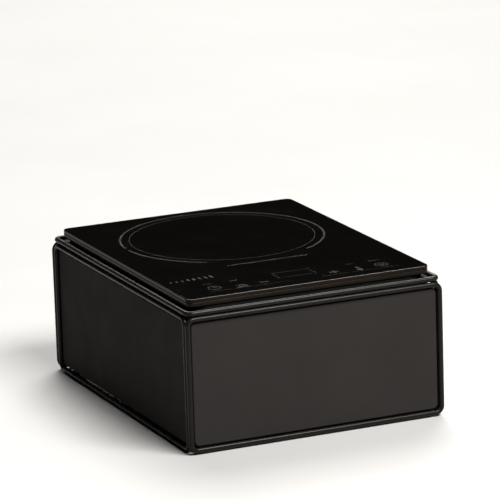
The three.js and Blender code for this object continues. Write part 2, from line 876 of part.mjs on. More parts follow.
addPiece(
  cooktop,
  "fuse",
  join(
    new THREE.CylinderGeometry(2.6, 2.6, 20, 12).translate(heatsinkLeft + 14, inletY, partsBottom + 5),
    onBoard(heatsinkLeft + 14, inletY - 8, 4, 3, 5),
    onBoard(heatsinkLeft + 14, inletY + 8, 4, 3, 5),
  ),
  fuseGlass,
);

// ---------------------------------------------------------------- cooktop: controls and wiring
addPiece(
  cooktop,
  "control_board",
  box(-controlWidth / 2, controlWidth / 2, controlFront, controlRear, controlBottom, controlTop),
  circuitGreen,
);
addPiece(
  cooktop,
  "touch_key_strip",
  join(
    box(-controlWidth / 2 + 2, controlWidth / 2 - 2, keyY - keyStripDepth / 2, keyY + keyStripDepth / 2,
      stripBottom, stripBottom + keyStripHeight),
    ...keyPlaces.map((x) => cylinder(keyPad, x, keyY, stripBottom, glassBottom - gap, 10)),
  ),
  paleRubber,
);
addPiece(
  cooktop,
  "display_module",
  box(-displayWidth / 2, displayWidth / 2, displayY - displayDepth / 2, displayY + displayDepth / 2,
    stripBottom, stripBottom + displayHeight),
  epoxyBlack,
);

// The ribbon hangs from the rear edge of the control board down to the front of the power board.
const ribbonWidth = 20;
const ribbonX = lowX + 56; // beside the storage capacitor
const ribbonHalf = 0.5;
function ribbonCable() {
  const top = controlBottom - gap;
  const bottom = partsBottom;
  const upperY = controlRear - 12;
  const lowerY = boardFront + 14;
  const curve = new THREE.CatmullRomCurve3([
    new THREE.Vector3(0, upperY, top),
    new THREE.Vector3(0, upperY, top - 8),
    new THREE.Vector3(0, (upperY + lowerY) / 2, (top + bottom) / 2),
    new THREE.Vector3(0, lowerY, bottom + 8),
    new THREE.Vector3(0, lowerY, bottom),
  ]);
  const middle = curve.getPoints(14);
  const outline = new THREE.Shape();
  const edge = (side) =>
    middle.map((point, i) => {
      const before = middle[Math.max(i - 1, 0)];
      const after = middle[Math.min(i + 1, middle.length - 1)];
      const along = after.clone().sub(before).normalize();
      return new THREE.Vector2(point.y - side * ribbonHalf * along.z, point.z + side * ribbonHalf * along.y);
    });
  outline.setFromPoints([...edge(1), ...edge(-1).reverse()]);
  const strip = new THREE.ExtrudeGeometry(outline, { depth: ribbonWidth, bevelEnabled: false });
  // The outline's x and y become y and z.
  return strip.rotateZ(Math.PI / 2).rotateY(Math.PI / 2).translate(ribbonX - ribbonWidth / 2, 0, 0);
}
addPiece(cooktop, "ribbon_cable", ribbonCable(), ribbonGrey);

// The coil's two ends run down to the power board, one inside the winding and one outside it.
const leadRadius = 2;
const leadReach = 10; // from the winding to where a lead turns down
const leadFromEdge = 7; // outer lead's foot from the board's right edge
function leadPath(edge, outward, angle, landX, landY) {
  const at = (radius, z) => [radius * Math.cos(angle), coilY + radius * Math.sin(angle), z];
  const passRadius = edge + outward * leadReach;
  return [
    at(edge + outward, coilBottom + coilThickness / 2),
    at(edge + outward * 4, coilBottom + coilThickness / 2),
    at(passRadius, coilBottom - 2),
    at(passRadius, formerBottom - 7),
    [landX, landY, (formerBottom + partsBottom) / 2 + 10],
    [landX, landY, partsBottom + leadRadius],
    [landX, landY, partsBottom],
  ];
}
const leadSection = roundSection(leadRadius);
const innerLead = leadPath(coilInner, -1, Math.PI / 6, heatsinkRight + 6, coilY + 6);
const outerLead = leadPath(coilOuter, 1, 0, boardRight - leadFromEdge, coilY);
addPiece(cooktop, "coil_lead_inner", along(innerLead, leadSection, 16), redSleeve);
addPiece(cooktop, "coil_lead_outer", along(outerLead, leadSection, 16), redSleeve);

const part = new THREE.Group();
part.add(housing, cooktop);
export default part;
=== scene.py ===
# %% [markdown]
# # An induction hob in its box, finished in Blender
#
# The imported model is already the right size, so everything here is about looks. This hob is almost
# all black: satin powder coat, polished glass and rubber. Black things are told apart by their
# edges and by how wide their highlights are, so round rods, folded sheet edges and the glass rim
# are modelled with real radii, and each finish gets its own grain and roughness.

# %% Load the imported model
import math
import bpy
from mathutils import Matrix, Vector


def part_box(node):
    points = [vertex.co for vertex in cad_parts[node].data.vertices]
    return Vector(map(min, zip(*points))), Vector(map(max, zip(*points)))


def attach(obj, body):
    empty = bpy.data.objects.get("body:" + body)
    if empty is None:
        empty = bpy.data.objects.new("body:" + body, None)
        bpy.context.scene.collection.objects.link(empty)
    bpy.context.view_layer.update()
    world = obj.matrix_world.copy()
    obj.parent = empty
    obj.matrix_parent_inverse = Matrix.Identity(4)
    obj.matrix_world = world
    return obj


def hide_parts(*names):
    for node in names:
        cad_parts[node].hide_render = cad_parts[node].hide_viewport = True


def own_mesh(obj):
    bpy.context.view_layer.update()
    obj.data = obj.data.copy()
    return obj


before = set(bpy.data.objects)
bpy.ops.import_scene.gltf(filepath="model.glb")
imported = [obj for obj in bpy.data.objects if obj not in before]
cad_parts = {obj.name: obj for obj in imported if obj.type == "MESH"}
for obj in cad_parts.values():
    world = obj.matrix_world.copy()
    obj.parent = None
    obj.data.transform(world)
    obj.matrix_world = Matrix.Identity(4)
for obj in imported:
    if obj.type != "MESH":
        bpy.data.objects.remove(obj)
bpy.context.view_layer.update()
for plain in list(bpy.data.materials):
    plain.name = "cad_" + plain.name
MM = 0.001
GAP = 0.3 * MM  # left between two pieces that touch

# %% [markdown]
# ## Camera
#
# A long lens from about four and a half metres keeps the box's edges nearly parallel. The camera is
# a little above the glass and to the left of the touch keys. A camera's own axes are the columns of
# its matrix, which makes the small roll easy to add.

# %% The camera
LOOK_AT = Vector((0.0171, 0.0148, 0.1611))
CAMERA_DISTANCE = 4.423
AZIMUTH = math.radians(-23.69)
ELEVATION = math.radians(14.24)
ROLL = math.radians(-1.823)
LENS = 280.8
FAR_CLIP = 50

back = Vector((
    math.sin(AZIMUTH) * math.cos(ELEVATION),
    -math.cos(AZIMUTH) * math.cos(ELEVATION),
    math.sin(ELEVATION),
))
level = Vector((math.cos(AZIMUTH), math.sin(AZIMUTH), 0))
upright = back.cross(level)
right = level * math.cos(ROLL) + upright * math.sin(ROLL)
up = upright * math.cos(ROLL) - level * math.sin(ROLL)
camera_data = bpy.data.cameras.new("camera")
camera_data.lens = LENS
camera_data.clip_end = FAR_CLIP
camera = bpy.data.objects.new("camera", camera_data)
camera.matrix_world = Matrix.Translation(LOOK_AT + back * CAMERA_DISTANCE) @ Matrix(
    (right, up, back)
).transposed().to_4x4()
bpy.context.scene.collection.objects.link(camera)
bpy.context.scene.camera = camera
print("camera at", [round(x, 3) for x in camera.location])

# %% [markdown]
# ## Studio
#
# One softbox stands high in front and slightly to the right, so the touch-key side is clearly
# lighter than the left side, which is lit only by what the floor sends back. A larger, softer one
# behind washes the floor, and a third, farther back, keeps the far floor as pale as the near one.
# Both stay high, because the glass mirrors whatever is low behind the box, and there the room is
# left dark. The floor's paint is a mid grey that this much light turns nearly white, which keeps
# the light it sends back to the left side in proportion.

# %% Lights, room and floor
# Name, azimuth and elevation in degrees, distance, width and height in metres, watts. Azimuth 0 is
# in front of the touch keys and 90 is on the right.
SOFTBOXES = (
    ("key", 16, 50, 2.6, 1.5, 1.0, 170),
    ("wash", 156, 50, 4.4, 3.0, 3.0, 300),
    ("far", 156, 36, 7.0, 3.0, 3.0, 205),
)
ROOM_LIGHT = 0.007
FLOOR_SIZE = 24


def softbox(name, azimuth, elevation, distance, width, height, watts):
    """An area light that looks at the hob."""
    a = math.radians(azimuth)
    e = math.radians(elevation)
    away = Vector((math.sin(a) * math.cos(e), -math.cos(a) * math.cos(e), math.sin(e)))
    light = bpy.data.lights.new(name, "AREA")
    light.shape = "RECTANGLE"
    light.size = width
    light.size_y = height
    light.energy = watts
    lamp = bpy.data.objects.new(name, light)
    lamp.location = LOOK_AT + away * distance
    lamp.rotation_euler = away.to_track_quat("Z", "Y").to_euler()
    bpy.context.scene.collection.objects.link(lamp)


for values in SOFTBOXES:
    softbox(*values)

world = bpy.data.worlds.new("studio")
bpy.context.scene.world = world
world.use_nodes = True
room_colour = world.node_tree.nodes["Background"].inputs["Color"]
room_colour.default_value = (ROOM_LIGHT, ROOM_LIGHT, ROOM_LIGHT, 1)
bpy.context.scene.view_settings.view_transform = "Standard"


def select_only(*objects):
    bpy.ops.object.select_all(action="DESELECT")
    for thing in objects:
        thing.select_set(True)
        bpy.context.view_layer.objects.active = thing


select_only()
bpy.ops.mesh.primitive_plane_add(size=FLOOR_SIZE, location=(0, 0, 0))
floor = bpy.context.object
floor.name = "floor"

# %% [markdown]
# ## Shared shader groups
#
# Three effects come back in nearly every finish. "patches" drifts between two colours, as paint,
# plastic and metal do over a hand's width. "grain" is the fine relief of a coat or a moulding.
# "wear" is a mask of small rubbed spots. Each is a node group that puts out a colour or a value,
# and the shader itself stays in the material.

# %% The shared groups
NOISE_LOW, NOISE_HIGH = 0.3, 0.7  # where nearly all of a noise's values lie
WEAR_LEVEL = 0.78
WEAR_SOFTNESS = 0.06
BROAD_GRAIN = 0.16  # scale of a grain's broad waves, as a share of its fine ones


def new_group(name, inputs, outputs):
    group = bpy.data.node_groups.new(name, "ShaderNodeTree")
    for label, kind, value in inputs:
        socket = group.interface.new_socket(label, in_out="INPUT", socket_type=kind)
        if value is not None:
            socket.default_value = value
    for label, kind in outputs:
        group.interface.new_socket(label, in_out="OUTPUT", socket_type=kind)
    return group, group.nodes.new("NodeGroupInput"), group.nodes.new("NodeGroupOutput")


def noise(tree, vector, scale, detail=2.0, roughness=0.5):
    node = tree.nodes.new("ShaderNodeTexNoise")
    node.inputs["Detail"].default_value = detail
    node.inputs["Roughness"].default_value = roughness
    tree.links.new(vector, node.inputs["Vector"])
    if isinstance(scale, (int, float)):
        node.inputs["Scale"].default_value = scale
    else:
        tree.links.new(scale, node.inputs["Scale"])
    return node.outputs["Fac"]


def remap(tree, value, low, high, out_low=0.0, out_high=1.0):
    node = tree.nodes.new("ShaderNodeMapRange")
    tree.links.new(value, node.inputs["Value"])
    limits = {"From Min": low, "From Max": high, "To Min": out_low, "To Max": out_high}
    for label, number in limits.items():
        if isinstance(number, (int, float)):
            node.inputs[label].default_value = number
        else:
            tree.links.new(number, node.inputs[label])
    return node.outputs["Result"]


def mix_colours(tree, factor, first, second):
    node = tree.nodes.new("ShaderNodeMix")
    node.data_type = "RGBA"
    tree.links.new(factor, node.inputs["Factor"])
    for label, colour in (("A", first), ("B", second)):
        socket = next(s for s in node.inputs if s.name == label and s.type == "RGBA")
        if isinstance(colour, tuple):
            socket.default_value = (*colour, 1)
        else:
            tree.links.new(colour, socket)
    return next(s for s in node.outputs if s.type == "RGBA")


def combine(tree, operation, first, second):
    node = tree.nodes.new("ShaderNodeMath")
    node.operation = operation
    for socket, value in zip(node.inputs, (first, second)):
        if isinstance(value, (int, float)):
            socket.default_value = value
        else:
            tree.links.new(value, socket)
    return node.outputs["Value"]


patches, given, made = new_group(
    "patches",
    [("Vector", "NodeSocketVector", None), ("Scale", "NodeSocketFloat", 30.0),
     ("Dark", "NodeSocketColor", (0.02, 0.02, 0.02, 1)),
     ("Light", "NodeSocketColor", (0.04, 0.04, 0.04, 1))],
    [("Color", "NodeSocketColor")],
)
drift = noise(patches, given.outputs["Vector"], given.outputs["Scale"], 4)
cloud = remap(patches, drift, NOISE_LOW, NOISE_HIGH)
patches.links.new(
    mix_colours(patches, cloud, given.outputs["Dark"], given.outputs["Light"]), made.inputs["Color"]
)

grain, given, made = new_group(
    "grain",
    [("Vector", "NodeSocketVector", None), ("Scale", "NodeSocketFloat", 900.0),
     ("Waves", "NodeSocketFloat", 0.4)],
    [("Height", "NodeSocketFloat")],
)
fine = noise(grain, given.outputs["Vector"], given.outputs["Scale"], 2, 0.6)
broad_scale = combine(grain, "MULTIPLY", given.outputs["Scale"], BROAD_GRAIN)
broad = noise(grain, given.outputs["Vector"], broad_scale, 1)
grain.links.new(
    combine(grain, "ADD", fine, combine(grain, "MULTIPLY", broad, given.outputs["Waves"])),
    made.inputs["Height"],
)

wear, given, made = new_group(
    "wear",
    [("Vector", "NodeSocketVector", None), ("Scale", "NodeSocketFloat", 120.0),
     ("Cover", "NodeSocketFloat", 0.1)],
    [("Mask", "NodeSocketFloat")],
)
spots = noise(wear, given.outputs["Vector"], given.outputs["Scale"], 6, 0.7)
edge = combine(wear, "SUBTRACT", WEAR_LEVEL, given.outputs["Cover"])
full = combine(wear, "ADD", edge, WEAR_SOFTNESS)
wear.links.new(remap(wear, spots, edge, full), made.inputs["Mask"])
print("groups:", [g.name for g in bpy.data.node_groups])

# %% [markdown]
# ## Finishes
#
# `finish_material` makes one Principled material from the groups: two close colours, a roughness
# that drifts between two values, a relief height and a little wear. Metals, plastics and rubber
# differ in these numbers, and the ones with a pattern of their own get a few more nodes after it.

# %% The material maker
def place_group(tree, group, vector, values):
    node = tree.nodes.new("ShaderNodeGroup")
    node.node_tree = group
    tree.links.new(vector, node.inputs["Vector"])
    for label, value in values.items():
        node.inputs[label].default_value = (*value, 1) if isinstance(value, tuple) else value
    return node


def finish_material(name, dark, light, rough, grain_scale=900.0, relief=0.00004, waves=0.4,
                    patch_scale=30.0, worn=None, cover=0.05, metallic=0.0, stretch=(1, 1, 1),
                    specular=0.5, tint=(1, 1, 1)):
    """A Principled material. rough is (lowest, highest), worn the colour of the rubbed spots."""
    material = bpy.data.materials.new(name)
    material.use_nodes = True
    tree = material.node_tree
    shader = tree.nodes["Principled BSDF"]
    where = tree.nodes.new("ShaderNodeTexCoord").outputs["Object"]
    mapping = tree.nodes.new("ShaderNodeMapping")
    mapping.inputs["Scale"].default_value = stretch
    tree.links.new(where, mapping.inputs["Vector"])
    vector = mapping.outputs["Vector"]

    drifting = {"Scale": patch_scale, "Dark": dark, "Light": light}
    colour = place_group(tree, patches, vector, drifting).outputs["Color"]
    if worn:
        rubbed = place_group(tree, wear, vector, {"Scale": patch_scale * 5, "Cover": cover})
        colour = mix_colours(tree, rubbed.outputs["Mask"], colour, worn)
    tree.links.new(colour, shader.inputs["Base Color"])

    drift = noise(tree, vector, patch_scale * 2.3, 5, 0.6)
    roughness = remap(tree, drift, NOISE_LOW, NOISE_HIGH, *rough)
    tree.links.new(roughness, shader.inputs["Roughness"])

    relief_node = place_group(tree, grain, vector, {"Scale": grain_scale, "Waves": waves})
    bump = tree.nodes.new("ShaderNodeBump")
    bump.inputs["Distance"].default_value = relief
    tree.links.new(relief_node.outputs["Height"], bump.inputs["Height"])
    tree.links.new(bump.outputs["Normal"], shader.inputs["Normal"])

    shader.inputs["Metallic"].default_value = metallic
    shader.inputs["Specular IOR Level"].default_value = specular
    shader.inputs["Specular Tint"].default_value = (*tint, 1)
    return material


# %% Coats, rubber and plastic
finish_material(
    "panel_coat", (0.0187, 0.0168, 0.0159), (0.0211, 0.0189, 0.0178), (0.6, 0.7), grain_scale=1400,
    relief=0.00005, waves=0.6, patch_scale=14, worn=(0.0236, 0.0209, 0.0195), cover=0.04,
    specular=0.03,
)
# The rods wear the same powder coat as the panels, but this colour is set about three times darker
# as painted shade: it stands in for the shade on the rods' undersides.
finish_material(
    "rod_coat", (0.0060, 0.0051, 0.0044), (0.0078, 0.0067, 0.0059), (0.25, 0.31), grain_scale=1200,
    relief=0.00003, waves=0.5, patch_scale=22, worn=(0.012, 0.0103, 0.009), cover=0.05,
    specular=0.11, tint=(1.0, 0.97, 0.93),
)
finish_material(
    "rubber", (0.009, 0.009, 0.009), (0.016, 0.016, 0.016), (0.75, 0.9), grain_scale=700,
    relief=0.00008, patch_scale=40, worn=(0.04, 0.04, 0.04), cover=0.08, specular=0.3,
)
finish_material(
    "gasket_rubber", (0.0046, 0.0046, 0.0044), (0.0060, 0.0060, 0.0057), (0.6, 0.75),
    grain_scale=800, relief=0.00005, patch_scale=40, worn=(0.009, 0.009, 0.0088), cover=0.06,
    specular=0.08,
)
finish_material(
    "black_plastic", (0.011, 0.011, 0.012), (0.017, 0.017, 0.018), (0.4, 0.52), grain_scale=1800,
    relief=0.00005, patch_scale=35, worn=(0.03, 0.03, 0.03), cover=0.04,
)
finish_material(
    "trim_plastic", (0.0047, 0.0036, 0.0029), (0.0064, 0.0050, 0.0041), (0.16, 0.24),
    grain_scale=1600, relief=0.00002, patch_scale=26, worn=(0.009, 0.007, 0.0058), cover=0.05,
    specular=0.1, tint=(1.0, 0.76, 0.62),
)
print("coats made:", [m.name for m in bpy.data.materials if not m.name.startswith("cad_")])

# %% The floor's paint
floor_paint = finish_material(
    "floor_paint", (0.355, 0.345, 0.332), (0.37, 0.36, 0.347), (0.75, 0.9), grain_scale=60,
    relief=0.0001, patch_scale=1.5, specular=0.2,
)
floor.data.materials.append(floor_paint)

# %% [markdown]
# ## Helpers for every piece
#
# A finished piece has its place in its mesh and its object at the origin. `finish_piece` applies
# the transform, names the piece, gives it a material and hands it to its body. It also weights the
# normals by face size, so a flat sheet or a glass top stays flat up to its small rounded edge.

# %% Piece helpers
CLOSE = 1e-7  # metres within which two coordinates count as equal
NEAR = 1e-6  # metres within which two points are merged or an edge counts as on the rim
FACING = 0.9  # a face looks along an axis when its normal's part along it is larger than this
BEYOND = 0.01  # how far a cutter reaches past what it cuts


def edit_mode(select="DESELECT"):
    bpy.context.tool_settings.mesh_select_mode = (True, False, False)
    bpy.ops.object.mode_set(mode="EDIT")
    bpy.ops.mesh.select_all(action=select)


def object_mode():
    bpy.ops.object.mode_set(mode="OBJECT")


def choose(obj, kind, test):
    """Selects edges by a test of their two ends, or faces by a test of their centre and normal."""
    object_mode()
    mesh = obj.data
    for group in (mesh.vertices, mesh.edges, mesh.polygons):
        for element in group:
            element.select = False
    if kind == "EDGE":
        for line in mesh.edges:
            line.select = test(*[mesh.vertices[i].co for i in line.vertices])
    else:
        for face in mesh.polygons:
            face.select = test(face.center, face.normal)
    bpy.context.tool_settings.mesh_select_mode = (False, kind == "EDGE", kind == "FACE")
    bpy.ops.object.mode_set(mode="EDIT")


def modify(obj, kind, **values):
    """Adds a modifier with these values and applies it."""
    select_only(obj)
    modifier = obj.modifiers.new(kind.lower(), kind)
    for label, value in values.items():
        setattr(modifier, label, value)
    bpy.ops.object.modifier_apply(modifier=modifier.name)


def cut_away(obj, cutter):
    modify(obj, "BOOLEAN", object=cutter, operation="DIFFERENCE", solver="EXACT")
    bpy.data.objects.remove(cutter)


def add_box(low, high):
    """A cube with the given lowest and highest corners, transform applied."""
    low, high = Vector(low), Vector(high)
    select_only()
    bpy.ops.mesh.primitive_cube_add(size=1, location=(low + high) / 2, scale=high - low)
    bpy.ops.object.transform_apply()
    return bpy.context.object


def add_rod(x, y, low, high, radius, sides):
    """An upright cylinder from low to high, transform applied."""
    select_only()
    bpy.ops.mesh.primitive_cylinder_add(
        vertices=sides, radius=radius, depth=high - low, location=(x, y, (low + high) / 2)
    )
    bpy.ops.object.transform_apply()
    return bpy.context.object


def add_chain(points, links):
    """Points and the lines between them, with no faces."""
    select_only()
    bpy.ops.mesh.primitive_plane_add(size=1)
    edit_mode("SELECT")
    bpy.ops.mesh.delete(type="VERT")
    object_mode()
    bpy.context.object.data.from_pydata(points, links, [])
    return bpy.context.object


def weld():
    """Merges points that coincide, turns the faces outward and leaves edit mode."""
    bpy.ops.mesh.select_all(action="SELECT")
    bpy.ops.mesh.remove_doubles(threshold=NEAR)
    bpy.ops.mesh.normals_make_consistent(inside=False)
    object_mode()


def size_of(obj):
    return [round(x, 4) for x in obj.dimensions]


def round_upright_edges(obj, radius, segments, axis=2):
    """Rounds the edges of a box that run along one axis."""
    others = [i for i in range(3) if i != axis]
    choose(obj, "EDGE", lambda a, b: all(abs(a[i] - b[i]) < CLOSE for i in others))
    bpy.ops.mesh.bevel(offset=radius, segments=segments, affect="EDGES")
    object_mode()


def soften(obj, width, segments=2, angle=40):
    modify(obj, "BEVEL", width=width, segments=segments, limit_method="ANGLE",
           angle_limit=math.radians(angle))


def finish_piece(obj, name, body, finish, replaces=(), smooth_angle=35):
    """Makes obj a finished piece. Its slot has the finish's name."""
    select_only(obj)
    bpy.ops.object.transform_apply()
    bpy.ops.object.shade_smooth_by_angle(angle=math.radians(smooth_angle))
    modify(obj, "WEIGHTED_NORMAL", keep_sharp=True, weight=50)
    obj.name = name
    obj.data.name = name
    obj.data.materials.clear()
    obj.data.materials.append(bpy.data.materials[finish])
    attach(obj, body)
    if replaces:
        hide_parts(*replaces)
    return obj


def join_pieces(objects):
    select_only(*objects)
    bpy.ops.object.join()
    return bpy.context.object


def turn_and_move(obj, turn, place):
    obj.rotation_euler = (0, 0, turn)
    obj.location = place
    select_only(obj)
    bpy.ops.object.transform_apply()


# %% [markdown]
# ## Rod frames and the top ring
#
# On the real box each frame is one length of 6 mm rod, bent at four corners and welded shut. The
# line of the rod is a flat rectangle with bevelled corners; turned into a curve with a round bevel
# it becomes a rod of even thickness all the way round, which a stretched cube would not.

# %% Rod frames
ROD_CORNER = 7.5 * MM
ROD_STEPS = 14


def rod_loop(node, flat_axis):
    """A rod loop that fills the node's box. flat_axis is the axis the loop is thin along."""
    low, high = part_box(node)
    radius = (high[flat_axis] - low[flat_axis]) / 2
    half = (high - low) / 2 - Vector((radius, radius, radius))
    u, v = [i for i in range(3) if i != flat_axis]
    select_only()
    bpy.ops.mesh.primitive_plane_add(size=2)
    loop = bpy.context.object
    loop.scale = (half[u], half[v], 1)
    bpy.ops.object.transform_apply(location=False, rotation=False, scale=True)
    edit_mode("SELECT")
    bpy.ops.mesh.delete(type="ONLY_FACE")
    bpy.ops.mesh.select_all(action="SELECT")
    bpy.ops.mesh.bevel(offset=ROD_CORNER, segments=ROD_STEPS, affect="VERTICES")
    object_mode()
    bpy.ops.object.convert(target="CURVE")
    loop.data.dimensions = "3D"
    loop.data.bevel_depth = radius
    loop.data.bevel_resolution = 6
    bpy.ops.object.convert(target="MESH")
    if flat_axis == 1:
        loop.rotation_euler = (math.pi / 2, 0, 0)
    elif flat_axis == 0:
        loop.rotation_euler = (math.pi / 2, 0, math.pi / 2)
    loop.location = (low + high) / 2
    return loop


# The rods take rod_coat, whose colour is darkened as painted shade for their undersides.
for side, flat_axis in (("front", 1), ("rear", 1), ("left", 0), ("right", 0)):
    node = "rod_frame_" + side
    loop = rod_loop(node, flat_axis)
    finish_piece(loop, "rod_" + side, "housing", "rod_coat", [node], 60)
ring = finish_piece(rod_loop("top_ring", 2), "ring_top", "housing", "rod_coat", ["top_ring"], 60)
print("ring faces:", len(ring.data.polygons), "box:", size_of(ring))

# %% [markdown]
# ## Folded side panels
#
# Each panel is a shallow tray of sheet steel: a face, a small fold radius, an edge running back and
# a lip at the end of it. It is modelled as one surface facing -Y and then given its thickness, so
# the fold is round outside and inside. The rear panel gets its vent slots and cord opening while it
# is still a plain tray.

# %% Panel maker
PANEL_CORNER = 6 * MM
FOLD_RADIUS = 1.3 * MM
SHEET = 1.5 * MM
LIP_SIDE = 0.9 * MM
LIP_UP = 4.2 * MM


def tray(half_x, half_z, depth, cutters=()):
    """A folded tray whose face lies in y = 0 and looks along -Y."""
    body = add_box((-half_x, 0, -half_z), (half_x, depth - SHEET, half_z))
    round_upright_edges(body, PANEL_CORNER, 8, axis=1)
    choose(body, "FACE", lambda centre, normal: normal.y > FACING)
    bpy.ops.mesh.delete(type="FACE")
    choose(body, "EDGE", lambda a, b: abs(a.y) < CLOSE and abs(b.y) < CLOSE)
    bpy.ops.mesh.bevel(offset=FOLD_RADIUS, segments=4, affect="EDGES")
    choose(body, "EDGE", lambda a, b: min(a.y, b.y) > depth - SHEET - NEAR)
    bpy.ops.mesh.extrude_edges_move()
    bpy.ops.transform.resize(value=((half_x + LIP_SIDE) / half_x, 1, (half_z + LIP_UP) / half_z))
    object_mode()
    modify(body, "SOLIDIFY", thickness=SHEET, offset=-1, use_even_offset=True)
    for cutter in cutters:
        cut_away(body, cutter)
    soften(body, 0.25 * MM)
    return body


def panel_piece(side, turn, cutters=()):
    node = "panel_" + side
    low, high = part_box(node)
    size = high - low
    across = max(size.x, size.y)
    depth = min(size.x, size.y)
    body = tray(across / 2 - LIP_SIDE, size.z / 2 - LIP_UP, depth, cutters)
    outward = Vector((math.sin(turn), -math.cos(turn), 0))
    middle = (low + high) / 2
    turn_and_move(body, turn, middle + outward * depth / 2)
    return finish_piece(body, "side_" + side, "housing", "panel_coat", [node])


for side, turn in (("front", 0), ("right", math.pi / 2), ("left", -math.pi / 2)):
    made_panel = panel_piece(side, turn)
    print(made_panel.name, size_of(made_panel))

# %% The rear panel's openings
SLOT_COUNT = 6
SLOT_LENGTH = 130 * MM
SLOT_HEIGHT = 5 * MM
SLOT_PITCH = 12 * MM
SLOT_REACH = 6 * MM
SLOT_PLACE = Vector((0.058, 0, 0.077))
HOLE_RADIUS = 14 * MM

rear_low, rear_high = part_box("panel_rear")
rear_middle_z = (rear_low.z + rear_high.z) / 2
openings = []
for i in range(SLOT_COUNT):
    z = SLOT_PLACE.z - rear_middle_z + (i - (SLOT_COUNT - 1) / 2) * SLOT_PITCH
    x = SLOT_PLACE.x
    slot = add_box(
        (x - SLOT_LENGTH / 2, -BEYOND, z - SLOT_HEIGHT / 2),
        (x + SLOT_LENGTH / 2, SLOT_REACH, z + SLOT_HEIGHT / 2),
    )
    round_upright_edges(slot, SLOT_HEIGHT * 0.49, 6, axis=1)
    openings.append(slot)
grommet_low, grommet_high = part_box("cord_grommet")
grommet_middle = (grommet_low + grommet_high) / 2
select_only()
bpy.ops.mesh.primitive_cylinder_add(
    vertices=64, radius=HOLE_RADIUS, depth=2 * BEYOND, rotation=(math.pi / 2, 0, 0),
    location=(-grommet_middle.x, 0, grommet_middle.z - rear_middle_z),
)
openings.append(bpy.context.object)
rear_panel = panel_piece("rear", math.pi, openings)
print("rear panel faces:", len(rear_panel.data.polygons))

# %% [markdown]
# ## Glass and trim frame
#
# The glass is a 4 mm plate with ground corners and a small polished bevel all round; that bevel is
# the thin light line along its edge. The trim frame below it is flush with the glass and slightly
# browner, with a shallow groove between the two. The print lies in the last few hundredths of a
# millimetre under the top of the CAD's glass, so the plate stops just below.

# %% The glass plate
GLASS_CORNER = 8 * MM
GLASS_BEVEL = 0.45 * MM
PRINT_THICKNESS = 0.06 * MM

glass_low, glass_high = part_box("glass_top")
PRINT_TOP = glass_high.z
GLASS_TOP = PRINT_TOP - PRINT_THICKNESS / 2
glass = add_box(glass_low, (glass_high.x, glass_high.y, GLASS_TOP))
round_upright_edges(glass, GLASS_CORNER, 14)
soften(glass, GLASS_BEVEL, 3, 60)

finish_material(
    "black_glass", (0.0007, 0.0005, 0.0003), (0.0011, 0.0008, 0.0005), (0.03, 0.07),
    grain_scale=220, relief=0.0000015, waves=1.0, patch_scale=9, specular=0.5,
)
finish_material(
    "glass_edge", (0.0056, 0.0042, 0.0033), (0.0076, 0.0058, 0.0047), (0.16, 0.24), grain_scale=900,
    relief=0.00002, patch_scale=24, worn=(0.0096, 0.0076, 0.0062), cover=0.05, specular=0.06,
    tint=(1.0, 0.8, 0.68),
)
finish_piece(glass, "glass_plate", "cooktop", "black_glass", ["glass_top"], 50)
glass.data.materials.append(bpy.data.materials["glass_edge"])
for face in glass.data.polygons:
    face.material_index = 0 if face.normal.z >= FACING else 1
print("glass box:", size_of(glass))

# %% The trim frame
TRIM_WIDTH = 18 * MM
TRIM_RECESS = 1.3 * MM
RECESS_DEPTH = 1 * MM
BOSS_RADIUS = 4.5 * MM
BOSS_BORE = 1.8 * MM
BORE_DEPTH = 13 * MM
BOSS_BURIED = 0.5 * MM  # of a boss, inside the trim

trim_low, trim_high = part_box("trim_frame")
seal_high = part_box("glass_seal")[1]
gasket_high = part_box("rest_gasket")[1]
trim_bottom = gasket_high.z + GAP
trim = add_box((trim_low.x, trim_low.y, trim_bottom), trim_high)
round_upright_edges(trim, GLASS_CORNER, 14)
window = add_box(
    (trim_low.x + TRIM_WIDTH, trim_low.y + TRIM_WIDTH, trim_bottom - BEYOND),
    (trim_high.x - TRIM_WIDTH, trim_high.y - TRIM_WIDTH, trim_high.z + BEYOND),
)
round_upright_edges(window, TRIM_WIDTH, 10)
recess = add_box(
    (trim_low.x + TRIM_RECESS, trim_low.y + TRIM_RECESS, trim_high.z - RECESS_DEPTH),
    (trim_high.x - TRIM_RECESS, trim_high.y - TRIM_RECESS, trim_high.z + BEYOND),
)
round_upright_edges(recess, GLASS_CORNER - TRIM_RECESS, 10)
cut_away(trim, window)
cut_away(trim, recess)
soften(trim, 0.5 * MM, 3)

screw_places = []
for corner in ("front_left", "front_right", "rear_left", "rear_right"):
    screw_low, screw_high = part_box("pan_screw_" + corner)
    screw_places.append((corner, (screw_low + screw_high) / 2))
parts = [trim]
for corner, middle in screw_places:
    boss = add_rod(middle.x, middle.y, trim_low.z, trim_bottom + BOSS_BURIED, BOSS_RADIUS, 40)
    choose(boss, "FACE", lambda centre, normal: normal.z < -FACING)
    bpy.ops.mesh.inset(thickness=BOSS_RADIUS - BOSS_BORE)
    bpy.ops.mesh.extrude_region_move(TRANSFORM_OT_translate={"value": (0, 0, BORE_DEPTH)})
    object_mode()
    soften(boss, 0.3 * MM)
    parts.append(boss)
trim = join_pieces(reversed(parts))
finish_piece(trim, "glass_trim", "cooktop", "trim_plastic", ["trim_frame"])
print("trim faces:", len(trim.data.polygons))

# %% [markdown]
# ## The print on the glass
#
# Screen print is a few hundredths of a millimetre thick. Every mark here is a strip or an arc of
# that thickness. An arc is a small upright rectangle spun round the mark's centre, and a whole ring
# is the same spun all the way and merged. The cooking zone is a broken ring with heavier flanks and
# a fine ring inside it; along the front are the key symbols, a display outline and two fine lines.

# %% Strips and arcs
PRINT_LOW = GLASS_TOP - PRINT_THICKNESS / 2


